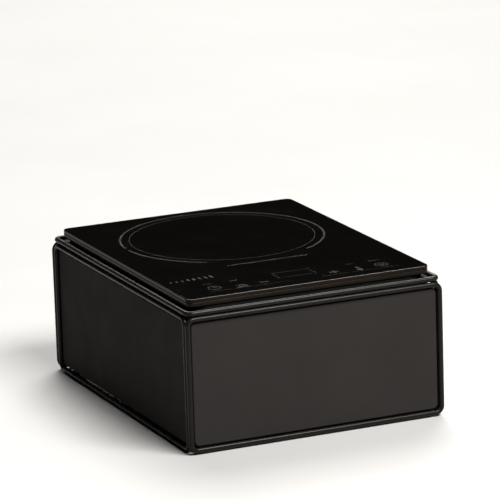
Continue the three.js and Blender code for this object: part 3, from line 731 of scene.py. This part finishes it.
def strip(x, y, length, width, turn=0.0):
    """A flat bar centred on (x, y), along x before it is turned about its middle."""
    select_only()
    bpy.ops.mesh.primitive_cube_add(
        size=1, location=(x, y, (PRINT_LOW + PRINT_TOP) / 2),
        rotation=(0, 0, turn), scale=(length, width, PRINT_TOP - PRINT_LOW),
    )
    bpy.ops.object.transform_apply()
    return bpy.context.object


def arc(x, y, radius, stroke, start, end, step=4.0):
    """A band round (x, y) from start to end, in degrees; 360 degrees apart makes a closed ring."""
    sweep = math.radians(end - start)
    whole = abs(end - start) >= 360
    select_only()
    bpy.ops.mesh.primitive_plane_add(
        size=1, rotation=(math.pi / 2, 0, 0), location=(radius, 0, (PRINT_LOW + PRINT_TOP) / 2)
    )
    band = bpy.context.object
    band.scale = (stroke, PRINT_TOP - PRINT_LOW, 1)
    bpy.ops.object.transform_apply()
    edit_mode("SELECT")
    if whole:
        bpy.ops.mesh.delete(type="ONLY_FACE")
        bpy.ops.mesh.select_all(action="SELECT")
    steps = max(6, math.ceil(abs(end - start) / step))
    bpy.ops.mesh.spin(steps=steps, angle=-sweep, center=(0, 0, 0), axis=(0, 0, 1))
    weld()
    band.rotation_euler = (0, 0, math.radians(start))
    band.location = (x, y, 0)
    select_only(band)
    bpy.ops.object.transform_apply()
    return band


test_arc = arc(0, 0, 10 * MM, MM, 0, 90)
print("a quarter arc of radius 10 mm reaches y =", round(test_arc.dimensions.y, 4))
bpy.data.objects.remove(test_arc)

# %% The print's two inks
finish_material(
    "dim_ink", (0.0066, 0.0066, 0.0068), (0.0102, 0.0102, 0.0104), (0.16, 0.24), grain_scale=3000,
    relief=0.00001, patch_scale=60, worn=(0.005, 0.005, 0.005), cover=0.03, specular=0.12,
)
finish_material(
    "bright_ink", (0.0132, 0.0134, 0.0142), (0.0190, 0.0194, 0.0205), (0.16, 0.24),
    grain_scale=3000, relief=0.00001, patch_scale=60, worn=(0.009, 0.009, 0.009), cover=0.03,
    specular=0.12,
)
print("finishes so far:", len([m for m in bpy.data.materials if not m.name.startswith("cad_")]))

# %% The cooking zone
zone_x = 0.0
zone_y = sum(corner.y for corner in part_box("mica_sheet")) / 2
ZONE_RADIUS = 116.5 * MM
ZONE_STROKE = 2.4 * MM
INNER_RADIUS = 106 * MM
GAP_SIDE = 2.7
GAP_FRONT = 32.0

marks = [
    arc(zone_x, zone_y, ZONE_RADIUS, ZONE_STROKE, -90 + GAP_FRONT, 180 - GAP_SIDE, 2.0),
    arc(zone_x, zone_y, ZONE_RADIUS, ZONE_STROKE, 180 + GAP_SIDE, 270 - GAP_FRONT, 2.0),
    arc(zone_x, zone_y, INNER_RADIUS, 0.8 * MM, 0, 360, 2.5),
]
for angle in (-90 + GAP_FRONT, 180 - GAP_SIDE, 180 + GAP_SIDE, 270 - GAP_FRONT):
    a = math.radians(angle)
    x, y = zone_x + ZONE_RADIUS * math.cos(a), zone_y + ZONE_RADIUS * math.sin(a)
    marks.append(add_rod(x, y, PRINT_LOW, PRINT_TOP, ZONE_STROKE / 2, 24))
zone_print = finish_piece(
    join_pieces(marks), "print_zone", "cooktop", "dim_ink"
)
print("zone print:", size_of(zone_print))

# %% [markdown]
# The keys are drawn with the same two strokes: a clock in a circle, heat waves over a bar, minus,
# plus, a thermometer, and a power mark in a circle. Short rows of dashes stand where a real hob has
# its captions.

# %% Key symbols
ROW = -155.5 * MM
LABEL_ROW = -133 * MM
LEVEL_ROW = -109 * MM
LEVELS = 8
STROKE = 0.9 * MM


def dashes(x, y, width, height, count):
    """A row of short dashes that stands for a caption."""
    pitch = width / count
    return [strip(x + (i - (count - 1) / 2) * pitch, y, pitch * 0.62, height) for i in range(count)]


def clock_symbol(x, y):
    return [
        arc(x, y, 7 * MM, STROKE, 0, 360, 10),
        strip(x, y + 2 * MM, STROKE, 4.4 * MM),
        strip(x + 1.7 * MM, y - 0.8 * MM, 3.4 * MM, STROKE, math.radians(-28)),
    ]


def heat_symbol(x, y):
    parts = [strip(x, y - 6 * MM, 13 * MM, 1.4 * MM)]
    for wave in (-4, 0, 4):
        left = x + wave * MM
        parts.append(arc(left - 1.1 * MM, y - 1.8 * MM, 2.4 * MM, 1.0 * MM, -52, 52, 9))
        parts.append(arc(left + 1.9 * MM, y + 2 * MM, 2.4 * MM, 1.0 * MM, 128, 232, 9))
    return parts


def thermometer_symbol(x, y):
    return [
        arc(x, y - 5 * MM, 2.3 * MM, 2.2 * MM, 0, 360, 12),
        strip(x, y + 2.4 * MM, 1.5 * MM, 10.5 * MM),
        strip(x + 2.4 * MM, y + 5.6 * MM, 2.2 * MM, 0.7 * MM),
        strip(x + 2.4 * MM, y + 3 * MM, 2.2 * MM, 0.7 * MM),
        strip(x + 2.4 * MM, y + 0.4 * MM, 2.2 * MM, 0.7 * MM),
    ]


def power_symbol(x, y):
    return [
        arc(x, y, 7 * MM, STROKE, 0, 360, 10),
        arc(x, y, 3.4 * MM, STROKE, 125, 415, 10),
        strip(x, y + 2.2 * MM, STROKE, 4.2 * MM),
    ]


marks = clock_symbol(-99 * MM, -151 * MM) + heat_symbol(-69.5 * MM, ROW)
marks += [strip(-42 * MM, ROW, 10 * MM, 1.8 * MM)]
marks += [
    strip(42 * MM, ROW, 10 * MM, 1.8 * MM),
    strip(42 * MM, ROW + 2.95 * MM, 1.8 * MM, 4.1 * MM),
    strip(42 * MM, ROW - 2.95 * MM, 1.8 * MM, 4.1 * MM),
]
marks += thermometer_symbol(71.5 * MM, ROW) + power_symbol(101 * MM, -152.5 * MM)
for level in range(LEVELS):
    height = (3 + 0.9 * level) * MM
    marks.append(strip((-132 + 7 * level) * MM, LEVEL_ROW + height / 2, 2.2 * MM, height))
key_print = finish_piece(
    join_pieces(marks), "print_keys", "cooktop", "bright_ink"
)
print("key print:", len(key_print.data.polygons), "faces")

# %% Display outline, captions and fine lines
DISPLAY = (-21 * MM, 23.5 * MM, -149 * MM, -127.5 * MM)
x0, x1, y0, y1 = DISPLAY
thin = 0.55 * MM
marks = [
    strip((x0 + x1) / 2, y0, x1 - x0 + thin, thin), strip((x0 + x1) / 2, y1, x1 - x0 + thin, thin),
    strip(x0, (y0 + y1) / 2, thin, y1 - y0 - thin), strip(x1, (y0 + y1) / 2, thin, y1 - y0 - thin),
    strip(-62.5 * MM, -165 * MM, 95 * MM, thin), strip(70 * MM, -166 * MM, 93 * MM, thin),
]
for x, width, count in ((-100, 11, 5), (-69, 9, 3), (71.5, 9, 4), (101.5, 14, 5)):
    marks += dashes(x * MM, LABEL_ROW, width * MM, 2.2 * MM, count)
marks += dashes(0, -71 * MM, 98 * MM, 3.2 * MM, 32)
fine_print = finish_piece(
    join_pieces(marks), "print_lines", "cooktop", "dim_ink"
)
print("fine print faces:", len(fine_print.data.polygons))

# %% [markdown]
# ## Feet, screws, grommet and gland
#
# Turned parts are made as on a lathe: half a profile is drawn as a chain of points and spun round
# its axis. The feet are rubber buttons with a dished tread ring underneath, and the pan screws have
# a domed head with a cross recess.

# %% The lathe helper
def lathe(profile, centre, steps=48):
    """Spins a chain of (radius, height) points round an upright axis through the centre."""
    links = [(i, i + 1) for i in range(len(profile) - 1)]
    if profile[0][0] > CLOSE:
        links.append((len(profile) - 1, 0))
    shape = add_chain([(r, 0, z) for r, z in profile], links)
    edit_mode("SELECT")
    bpy.ops.mesh.spin(steps=steps, angle=2 * math.pi, center=(0, 0, 0), axis=(0, 0, 1))
    weld()
    shape.location = centre
    select_only(shape)
    bpy.ops.object.transform_apply()
    return shape


# %% Feet
for corner in ("front_left", "front_right", "rear_left", "rear_right"):
    low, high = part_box("foot_" + corner)
    radius = (high.x - low.x) / 2
    height = high.z - low.z
    foot = lathe(
        [(0, 1.2 * MM), (0.5 * radius, 1.2 * MM), (0.62 * radius, 0.9 * MM), (0.68 * radius, 0),
         (radius - 1.2 * MM, 0), (radius - 0.35 * MM, 0.35 * MM), (radius, 1.2 * MM),
         (radius - 0.5 * MM, height - 0.4 * MM), (radius - 0.9 * MM, height), (0, height)],
        ((low.x + high.x) / 2, (low.y + high.y) / 2, low.z),
    )
    finish_piece(foot, "pad_" + corner, "housing", "rubber", ["foot_" + corner], 50)
print("foot faces:", len(foot.data.polygons))

# %% Pan screws
finish_material(
    "plated_steel", (0.36, 0.36, 0.35), (0.48, 0.48, 0.46), (0.28, 0.42), grain_scale=2200,
    relief=0.00001, patch_scale=70, worn=(0.24, 0.22, 0.19), cover=0.08, metallic=1.0,
)
HEAD_RADIUS = 3.5 * MM
for corner, middle in screw_places:
    low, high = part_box("pan_screw_" + corner)
    top = high.z - low.z
    screw = lathe(
        [(0, 0), (1.6 * MM, 0.1 * MM), (2.9 * MM, 0.55 * MM), (HEAD_RADIUS, 1.4 * MM),
         (HEAD_RADIUS, 2.2 * MM), (1.5 * MM, 2.2 * MM), (1.5 * MM, top - 0.8 * MM), (0.8 * MM, top),
         (0, top)],
        (middle.x, middle.y, low.z), 40,
    )
    for turn in (0, math.pi / 2):
        select_only()
        bpy.ops.mesh.primitive_cube_add(
            size=1, location=(middle.x, middle.y, low.z), rotation=(0, 0, turn),
            scale=(3.6 * MM, 0.8 * MM, 2.4 * MM),
        )
        cut_away(screw, bpy.context.object)
    finish_piece(screw, "screw_" + corner, "cooktop", "plated_steel", ["pan_screw_" + corner])
print("screw faces:", len(screw.data.polygons))

# %% Cord grommet and gland
# Both are rings of revolution, the grommet turned on its side to sit in the rear panel.
radius = (grommet_high.x - grommet_low.x) / 2
thickness = grommet_high.y - grommet_low.y
bore = 11 * MM
neck = 13.6 * MM
lip = 2.5 * MM
grommet = lathe(
    [(bore, 0.6 * MM), (bore + 0.6 * MM, 0), (radius - 0.9 * MM, 0), (radius, 0.9 * MM),
     (radius, lip - 0.3 * MM), (radius - 0.3 * MM, lip), (neck, lip), (neck, thickness - lip),
     (radius - 0.3 * MM, thickness - lip), (radius, thickness - lip + 0.3 * MM),
     (radius, thickness - 0.9 * MM), (radius - 0.9 * MM, thickness), (bore + 0.6 * MM, thickness),
     (bore, thickness - 0.6 * MM)],
    (0, 0, -thickness / 2), 56,
)
grommet.rotation_euler = (math.pi / 2, 0, 0)
grommet.location = grommet_middle
finish_piece(grommet, "cord_ring", "housing", "rubber", ["cord_grommet"], 50)

gland_low, gland_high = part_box("cord_gland")
gland_middle = (gland_low + gland_high) / 2
tall = gland_high.z - gland_low.z
flange = (gland_high.x - gland_low.x) / 2
FLUTES = 12
FLUTE_RADIUS = 1.1 * MM
FLUTE_CIRCLE = flange + 0.35 * MM
gland = lathe(
    [(4.5 * MM, 0.5 * MM), (5 * MM, 0), (flange - 2.5 * MM, 0), (flange - 1 * MM, 0.8 * MM),
     (flange, 2 * MM), (flange, 11.3 * MM), (flange - 0.4 * MM, 11.7 * MM), (8 * MM, 11.7 * MM),
     (8 * MM, 13.8 * MM), (9 * MM, 13.8 * MM), (9 * MM, tall - 0.6 * MM), (8.4 * MM, tall),
     (5 * MM, tall), (4.5 * MM, tall - 0.5 * MM)],
    (gland_middle.x, gland_middle.y, gland_low.z), 56,
)
for i in range(FLUTES):
    a = 2 * math.pi * i / FLUTES
    x = gland_middle.x + FLUTE_CIRCLE * math.cos(a)
    y = gland_middle.y + FLUTE_CIRCLE * math.sin(a)
    cut_away(gland, add_rod(
        x, y, gland_low.z + 2.7 * MM, gland_low.z + 9.7 * MM, FLUTE_RADIUS, 16
    ))
finish_piece(gland, "cord_nut", "cooktop", "black_plastic", ["cord_gland"], 40)
print("grommet and gland faces:", len(grommet.data.polygons), len(gland.data.polygons))

# %% [markdown]
# ## Sheets and seals between the hob and the box
#
# The top plate, the gasket and the glass seal are flat frames with round corners. Each is a block
# with a smaller block cut out of it, and both get their upright edges rounded before the cut. The
# gasket is soft, so its rim is rounder than the plate's.

# %% Flat frames
def flat_frame(node, outer_corner, opening, inner_corner, edge, segments=2):
    """A frame that fills the node's box. opening is the half size of the hole in x and y."""
    low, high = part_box(node)
    body = add_box(low, high)
    round_upright_edges(body, outer_corner, 10)
    x, y = opening
    hole = add_box((-x, -y, low.z - BEYOND), (x, y, high.z + BEYOND))
    round_upright_edges(hole, inner_corner, 12)
    cut_away(body, hole)
    soften(body, edge, segments)
    return body


GASKET_WIDTH = 9.5 * MM
cutout = (gasket_high.x - GASKET_WIDTH, gasket_high.y - GASKET_WIDTH)
CUTOUT_CORNER = 14 * MM
plate = flat_frame("top_plate", 4.5 * MM, cutout, CUTOUT_CORNER, 0.25 * MM)
finish_piece(plate, "deck_plate", "housing", "panel_coat", ["top_plate"])
gasket = flat_frame("rest_gasket", CUTOUT_CORNER + GASKET_WIDTH, cutout, CUTOUT_CORNER, 1.4 * MM, 4)
finish_piece(
    gasket, "deck_gasket", "housing", "gasket_rubber", ["rest_gasket"], 50
)
SEAL_WIDTH = 7.7 * MM
seal_opening = (seal_high.x - SEAL_WIDTH, seal_high.y - SEAL_WIDTH)
seal = flat_frame("glass_seal", 6.4 * MM, seal_opening, 6.7 * MM, 0.2 * MM)
finish_piece(seal, "glass_bead", "cooktop", "rubber", ["glass_seal"], 50)
print("plate, gasket, seal:", [len(x.data.polygons) for x in (plate, gasket, seal)])

# %% [markdown]
# ## The pan
#
# The pan is deep-drawn from sheet: upright corners are round, and the floor runs into the walls
# through a small radius. It is modelled as an open block, given its thickness, and then the fan
# grille, the exhaust slots and the holes are cut, all the cutters of one kind joined into one.

# %% The pan's shell
PAN_CORNER = 12 * MM
FLOOR_RADIUS = 3.8 * MM
pan_low, pan_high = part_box("base_pan")
floor_top = pan_low.z + SHEET
pan = add_box(pan_low, pan_high)
round_upright_edges(pan, PAN_CORNER, 12)
choose(pan, "FACE", lambda centre, normal: normal.z > FACING)
bpy.ops.mesh.delete(type="FACE")
choose(pan, "EDGE", lambda a, b: max(a.z, b.z) < pan_low.z + NEAR)
bpy.ops.mesh.bevel(offset=FLOOR_RADIUS, segments=5, affect="EDGES")
object_mode()
modify(pan, "SOLIDIFY", thickness=SHEET, offset=-1, use_even_offset=True)
print("pan shell:", size_of(pan), len(pan.data.polygons), "faces")

# %% Posts that carry the coil and the boards
POST_BURIED = 0.5 * MM  # of a post, inside the pan's floor


def post(x, y, radius, top):
    rod = add_rod(x, y, floor_top - POST_BURIED, top, radius, 28)
    choose(rod, "EDGE", lambda a, b: min(a.z, b.z) > top - NEAR)
    bpy.ops.mesh.bevel(offset=0.5 * MM, segments=2, affect="EDGES")
    object_mode()
    return rod


POST_OFFSET = 74 * MM
BOARD_INSET = 6 * MM
former_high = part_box("coil_former")[1]
board_low, board_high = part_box("power_board")
control_low, control_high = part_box("control_board")
FORMER_THICKNESS = 2.3 * MM
former_bottom = former_high.z - FORMER_THICKNESS
posts = [
    post(zone_x + sx * POST_OFFSET, zone_y + sy * POST_OFFSET, 4 * MM, former_bottom - GAP)
    for sx in (-1, 1) for sy in (-1, 1)
]
posts += [
    post(x, y, 3 * MM, board_low.z - GAP)
    for x in (board_low.x + BOARD_INSET, board_high.x - BOARD_INSET)
    for y in (board_low.y + BOARD_INSET, board_high.y - BOARD_INSET)
]
posts += [
    post(x, control_high.y - BOARD_INSET, 3.5 * MM, control_low.z - GAP)
    for x in (control_low.x + BOARD_INSET, control_high.x - BOARD_INSET)
]
for rod in posts:
    modify(pan, "BOOLEAN", object=rod, operation="UNION", solver="EXACT")
    bpy.data.objects.remove(rod)
print("pan with posts:", len(pan.data.polygons), "faces")

# %% Grille, exhaust slots and holes
DUCT_RADIUS = 38 * MM
GRILLE_BAR = 3 * MM
GRILLE_SLOT = 4.5 * MM
EXHAUST_COUNT = 12
EXHAUST_WIDTH = 4 * MM
EXHAUST_HEIGHT = 26 * MM
EXHAUST_PITCH = 9 * MM
EXHAUST_ABOVE_FLOOR = 6 * MM
PAST_WALL = 2 * MM


def rounded_slot(low, high, axis):
    slot = add_box(low, high)
    thin = min(high[i] - low[i] for i in range(3) if i != axis)
    round_upright_edges(slot, thin * 0.48, 4, axis=axis)
    return slot


fan_x, fan_y, _ = sum(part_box("fan_frame"), Vector()) / 2
cutters = []
offset = GRILLE_BAR + GRILLE_SLOT / 2 - DUCT_RADIUS
while offset < DUCT_RADIUS - GRILLE_SLOT:
    reach = math.sqrt((DUCT_RADIUS - MM) ** 2 - (abs(offset) + GRILLE_SLOT / 2) ** 2)
    if reach > 3 * GRILLE_BAR:
        for left, far in ((-reach, -GRILLE_BAR / 2), (GRILLE_BAR / 2, reach)):
            cutters.append(rounded_slot(
                (fan_x + left, fan_y + offset - GRILLE_SLOT / 2, pan_low.z - PAST_WALL),
                (fan_x + far, fan_y + offset + GRILLE_SLOT / 2, floor_top + PAST_WALL), 2,
            ))
    offset += GRILLE_BAR + GRILLE_SLOT
for i in range(EXHAUST_COUNT):
    x = (i - (EXHAUST_COUNT - 1) / 2) * EXHAUST_PITCH
    z = floor_top + EXHAUST_ABOVE_FLOOR
    cutters.append(rounded_slot(
        (x, pan_high.y - SHEET - PAST_WALL, z),
        (x + EXHAUST_WIDTH, pan_high.y + PAST_WALL, z + EXHAUST_HEIGHT), 1,
    ))
sheet_middle = pan_low.z + SHEET / 2
holes = [(middle.x, middle.y, 1.9 * MM) for corner, middle in screw_places]
holes.append((gland_middle.x, gland_middle.y, 8.3 * MM))
for x, y, radius in holes:
    cutters.append(add_rod(
        x, y, sheet_middle - BEYOND / 2, sheet_middle + BEYOND / 2, radius, 36
    ))
cut_away(pan, join_pieces(cutters))
soften(pan, 0.2 * MM, 2)
finish_piece(pan, "hob_pan", "cooktop", "panel_coat", ["base_pan"])
print("pan:", size_of(pan), len(pan.data.polygons), "faces")

# %% [markdown]
# ## Finishes inside the hob
#
# The parts inside keep their machined shape and get the look of their material: varnished copper
# strands, mica with its flakes, sintered ferrite, extruded aluminium with draw lines, green boards
# with tracks, dipped film capacitors and woven sleeves.

# %% Metals, ferrite and mica
finish_material(
    "copper", (0.302, 0.104, 0.043), (0.432, 0.173, 0.079), (0.26, 0.4), grain_scale=1500,
    relief=0.00012, waves=0.8, patch_scale=90, worn=(0.158, 0.050, 0.022), cover=0.12, metallic=1.0,
)
finish_material(
    "aluminium", (0.25, 0.255, 0.26), (0.31, 0.315, 0.32), (0.3, 0.45), grain_scale=900,
    relief=0.00003, patch_scale=40, worn=(0.19, 0.195, 0.2), cover=0.08, metallic=1.0,
    stretch=(0.06, 1, 1),
)
finish_material(
    "ferrite", (0.018, 0.018, 0.020), (0.032, 0.032, 0.035), (0.6, 0.75), grain_scale=1300,
    relief=0.0001, patch_scale=80, worn=(0.06, 0.06, 0.065), cover=0.1,
)
finish_material(
    "mica", (0.198, 0.15, 0.084), (0.3, 0.246, 0.162), (0.25, 0.5), grain_scale=260, relief=0.00005,
    waves=1.2, patch_scale=120, worn=(0.372, 0.324, 0.24), cover=0.14,
)
print("materials in the file:", len(bpy.data.materials))

# %% Components, sleeves and ribbon
finish_material(
    "component_black", (0.012, 0.012, 0.013), (0.02, 0.02, 0.021), (0.4, 0.55), grain_scale=2000,
    relief=0.00003, patch_scale=90, worn=(0.05, 0.05, 0.05), cover=0.06,
)
finish_material(
    "film_yellow", (0.3, 0.198, 0.027), (0.372, 0.258, 0.042), (0.3, 0.42), grain_scale=700,
    relief=0.00006, waves=1.0, patch_scale=60, worn=(0.216, 0.144, 0.030), cover=0.06,
)
finish_material(
    "film_blue", (0.015, 0.045, 0.175), (0.025, 0.063, 0.238), (0.28, 0.4), grain_scale=700,
    relief=0.00006, waves=1.0, patch_scale=60, worn=(0.035, 0.077, 0.21), cover=0.06,
)
finish_material(
    "pale_rubber", (0.24, 0.23, 0.205), (0.29, 0.28, 0.255), (0.6, 0.75), grain_scale=900,
    relief=0.00006, patch_scale=60, worn=(0.2, 0.19, 0.165), cover=0.08, specular=0.3,
)
finish_material(
    "ribbon", (0.156, 0.162, 0.174), (0.216, 0.222, 0.234), (0.4, 0.55), grain_scale=1200,
    relief=0.00006, patch_scale=60, worn=(0.12, 0.12, 0.132), cover=0.06,
)
finish_material(
    "red_sleeve", (0.133, 0.013, 0.008), (0.196, 0.025, 0.015), (0.6, 0.8), grain_scale=1900,
    relief=0.0003, waves=0.7, patch_scale=120, worn=(0.231, 0.056, 0.042), cover=0.12,
)
fuse_glass = finish_material(
    "fuse_glass", (0.372, 0.396, 0.384), (0.444, 0.468, 0.456), (0.05, 0.14), grain_scale=500,
    relief=0.00001, patch_scale=80, worn=(0.3, 0.312, 0.3), cover=0.04,
)
fuse_glass.node_tree.nodes["Principled BSDF"].inputs["Transmission Weight"].default_value = 0.6
print("materials in the file:", len(bpy.data.materials))

# %% Circuit board
# Solder mask over copper tracks: a brick pattern's joints, bent by noise, read as tracks, and the
# pads are the middles of a cell pattern.
circuit_board = finish_material(
    "circuit_board", (0.003, 0.030, 0.011), (0.005, 0.042, 0.016), (0.3, 0.42), grain_scale=900,
    relief=0.00003, patch_scale=50, worn=(0.008, 0.052, 0.024), cover=0.05, specular=0.3,
)
tree = circuit_board.node_tree
shader = tree.nodes["Principled BSDF"]
where = next(n for n in tree.nodes if n.type == "TEX_COORD").outputs["Object"]
tracks = tree.nodes.new("ShaderNodeTexBrick")
tracks.offset = 0.37
for label, value in (("Scale", 55.0), ("Mortar Size", 0.045), ("Mortar Smooth", 0.1),
                     ("Brick Width", 0.9), ("Row Height", 0.23)):
    tracks.inputs[label].default_value = value
tree.links.new(where, tracks.inputs["Vector"])
pads = tree.nodes.new("ShaderNodeTexVoronoi")
pads.inputs["Scale"].default_value = 150
tree.links.new(where, pads.inputs["Vector"])
pad_mask = remap(tree, pads.outputs["Distance"], 0.16, 0.12)
masked = shader.inputs["Base Color"].links[0].from_socket
tracked = mix_colours(tree, tracks.outputs["Fac"], masked, (0.010, 0.075, 0.028))
padded = mix_colours(tree, pad_mask, tracked, (0.22, 0.21, 0.18))
tree.links.new(padded, shader.inputs["Base Color"])
print("board nodes:", len(tree.nodes))

# %% [markdown]
# ## Coil and fan wheel
#
# The coil is one long strand laid in a flat spiral, about twenty turns wide. A chain of points that
# moves outwards as it goes round gives the spiral's line, and a round bevel pressed taller gives
# the imported strand. The sensor's spring is the same chain made to climb instead. It is a fixed
# coil and can't follow the sensor. The fan wheel is a
# round-edged hub with seven curved blades: one blade is bent from a flat grid and given its
# thickness, and the others are made the same way, turned round the shaft.

# %% The wire helper
def bent_wire(points, radius, resolution):
    """A closed round wire along a chain of points."""
    wire = add_chain(points, [(i, i + 1) for i in range(len(points) - 1)])
    bpy.ops.object.convert(target="CURVE")
    wire.data.dimensions = "3D"
    wire.data.bevel_depth = radius
    wire.data.bevel_resolution = resolution
    wire.data.use_fill_caps = True
    bpy.ops.object.convert(target="MESH")
    edit_mode()
    weld()
    return wire


# %% The coil's spiral
COIL_TURNS = 20
STEPS_PER_TURN = 72
coil_low, coil_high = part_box("induction_coil")
coil_outer = (coil_high.x - coil_low.x) / 2
COIL_INNER = 32 * MM
coil_pitch = (coil_outer - COIL_INNER) / COIL_TURNS
strand = coil_pitch * 0.49
coil_height = coil_high.z - coil_low.z
coil_steps = COIL_TURNS * STEPS_PER_TURN
points = []
for i in range(coil_steps + 1):
    a = 2 * math.pi * i / STEPS_PER_TURN
    r = COIL_INNER + strand + (coil_outer - COIL_INNER - 2 * strand) * i / coil_steps
    points.append((r * math.cos(a), r * math.sin(a), 0))
coil = bent_wire(points, strand, 3)
coil.scale = (1, 1, coil_height / (2 * strand))
coil.location = (zone_x, zone_y, (coil_low.z + coil_high.z) / 2)
finish_piece(coil, "coil_spiral", "cooktop", "copper", ["induction_coil"], 60)
print("coil:", size_of(coil), len(coil.data.polygons), "faces")

# %% The sensor's spring
SPRING_TURNS = 4
SPRING_STEPS = 24
SPRING_WIRE = 0.5 * MM
spring_low, spring_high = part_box("sensor_spring")
spring_radius = (spring_high.x - spring_low.x) / 2 - SPRING_WIRE
spring_length = spring_high.z - spring_low.z
spring_steps = SPRING_TURNS * SPRING_STEPS
points = []
for i in range(spring_steps + 1):
    a = 2 * math.pi * i / SPRING_STEPS
    z = spring_low.z + SPRING_WIRE + (spring_length - 2 * SPRING_WIRE) * i / spring_steps
    points.append((zone_x + spring_radius * math.cos(a), zone_y + spring_radius * math.sin(a), z))
spring = bent_wire(points, SPRING_WIRE * 0.96, 2)
finish_piece(spring, "sensor_coil_spring", "cooktop", "plated_steel", ["sensor_spring"], 60)
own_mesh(spring)
print("spring:", size_of(spring), len(spring.data.polygons), "faces")

# %% The fan wheel
BLADES = 7
BLADE_STEPS = 8
SWEEP = 0.28
ARCH = 3.2 * MM
HUB_RADIUS = 16 * MM
BLADE_THICKNESS = 1.5 * MM
wheel_low, wheel_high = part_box("fan_rotor")
tip_radius = min(wheel_high.x - wheel_low.x, wheel_high.y - wheel_low.y) / 2 - 0.4 * MM
hub_low = wheel_high.z - 19.5 * MM
hub_height = wheel_high.z - hub_low
hub = lathe(
    [(0, 0), (HUB_RADIUS - 0.8 * MM, 0), (HUB_RADIUS, 0.8 * MM),
     (HUB_RADIUS, hub_height - 1.6 * MM), (HUB_RADIUS - 0.5 * MM, hub_height - 0.5 * MM),
     (HUB_RADIUS - 1.6 * MM, hub_height),
     (9 * MM, hub_height), (8.4 * MM, hub_height - 0.6 * MM), (0, hub_height - 0.6 * MM)],
    (fan_x, fan_y, hub_low),
)
shaft = lathe(
    [(0, 0), (1.2 * MM, 0), (1.5 * MM, 0.3 * MM), (1.5 * MM, hub_low - wheel_low.z + MM),
     (0, hub_low - wheel_low.z + MM)],
    (fan_x, fan_y, wheel_low.z), 20,
)
wheel_parts = [shaft]
for number in range(BLADES):
    select_only()
    bpy.ops.mesh.primitive_grid_add(x_subdivisions=BLADE_STEPS, y_subdivisions=BLADE_STEPS, size=1)
    blade = bpy.context.object
    for vertex in blade.data.vertices:
        along, across = vertex.co.x + 0.5, vertex.co.y
        r = HUB_RADIUS - MM + (tip_radius - HUB_RADIUS) * along
        chord = (13 + 9 * along) * MM
        pitch_angle = math.radians(48 - 16 * along)
        swept = across * chord * math.cos(pitch_angle) / r + SWEEP * along
        swept += 2 * math.pi * number / BLADES
        arch = (0.25 - across * across) * ARCH
        vertex.co = (
            r * math.cos(swept), r * math.sin(swept),
            (hub_low + wheel_high.z) / 2 + across * chord * math.sin(pitch_angle) + arch - MM,
        )
    modify(blade, "SOLIDIFY", thickness=BLADE_THICKNESS, offset=0)
    soften(blade, 0.4 * MM, 2)
    select_only(blade)
    bpy.ops.transform.translate(value=(fan_x, fan_y, 0))
    bpy.ops.object.transform_apply()
    wheel_parts.append(blade)
wheel = join_pieces([*wheel_parts, hub])
finish_piece(wheel, "fan_wheel", "fan", "black_plastic", ["fan_rotor"], 40)
print("fan wheel:", size_of(wheel),
      "CAD:", [round(x, 4) for x in wheel_high - wheel_low])

# %% Finishes for the CAD pieces that stay
kept = 0
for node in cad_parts:
    for place in bpy.data.objects[node].material_slots:
        place.material = bpy.data.materials[place.material.name.removeprefix("cad_")]
        kept += 1
print("CAD nodes given a finish:", kept)
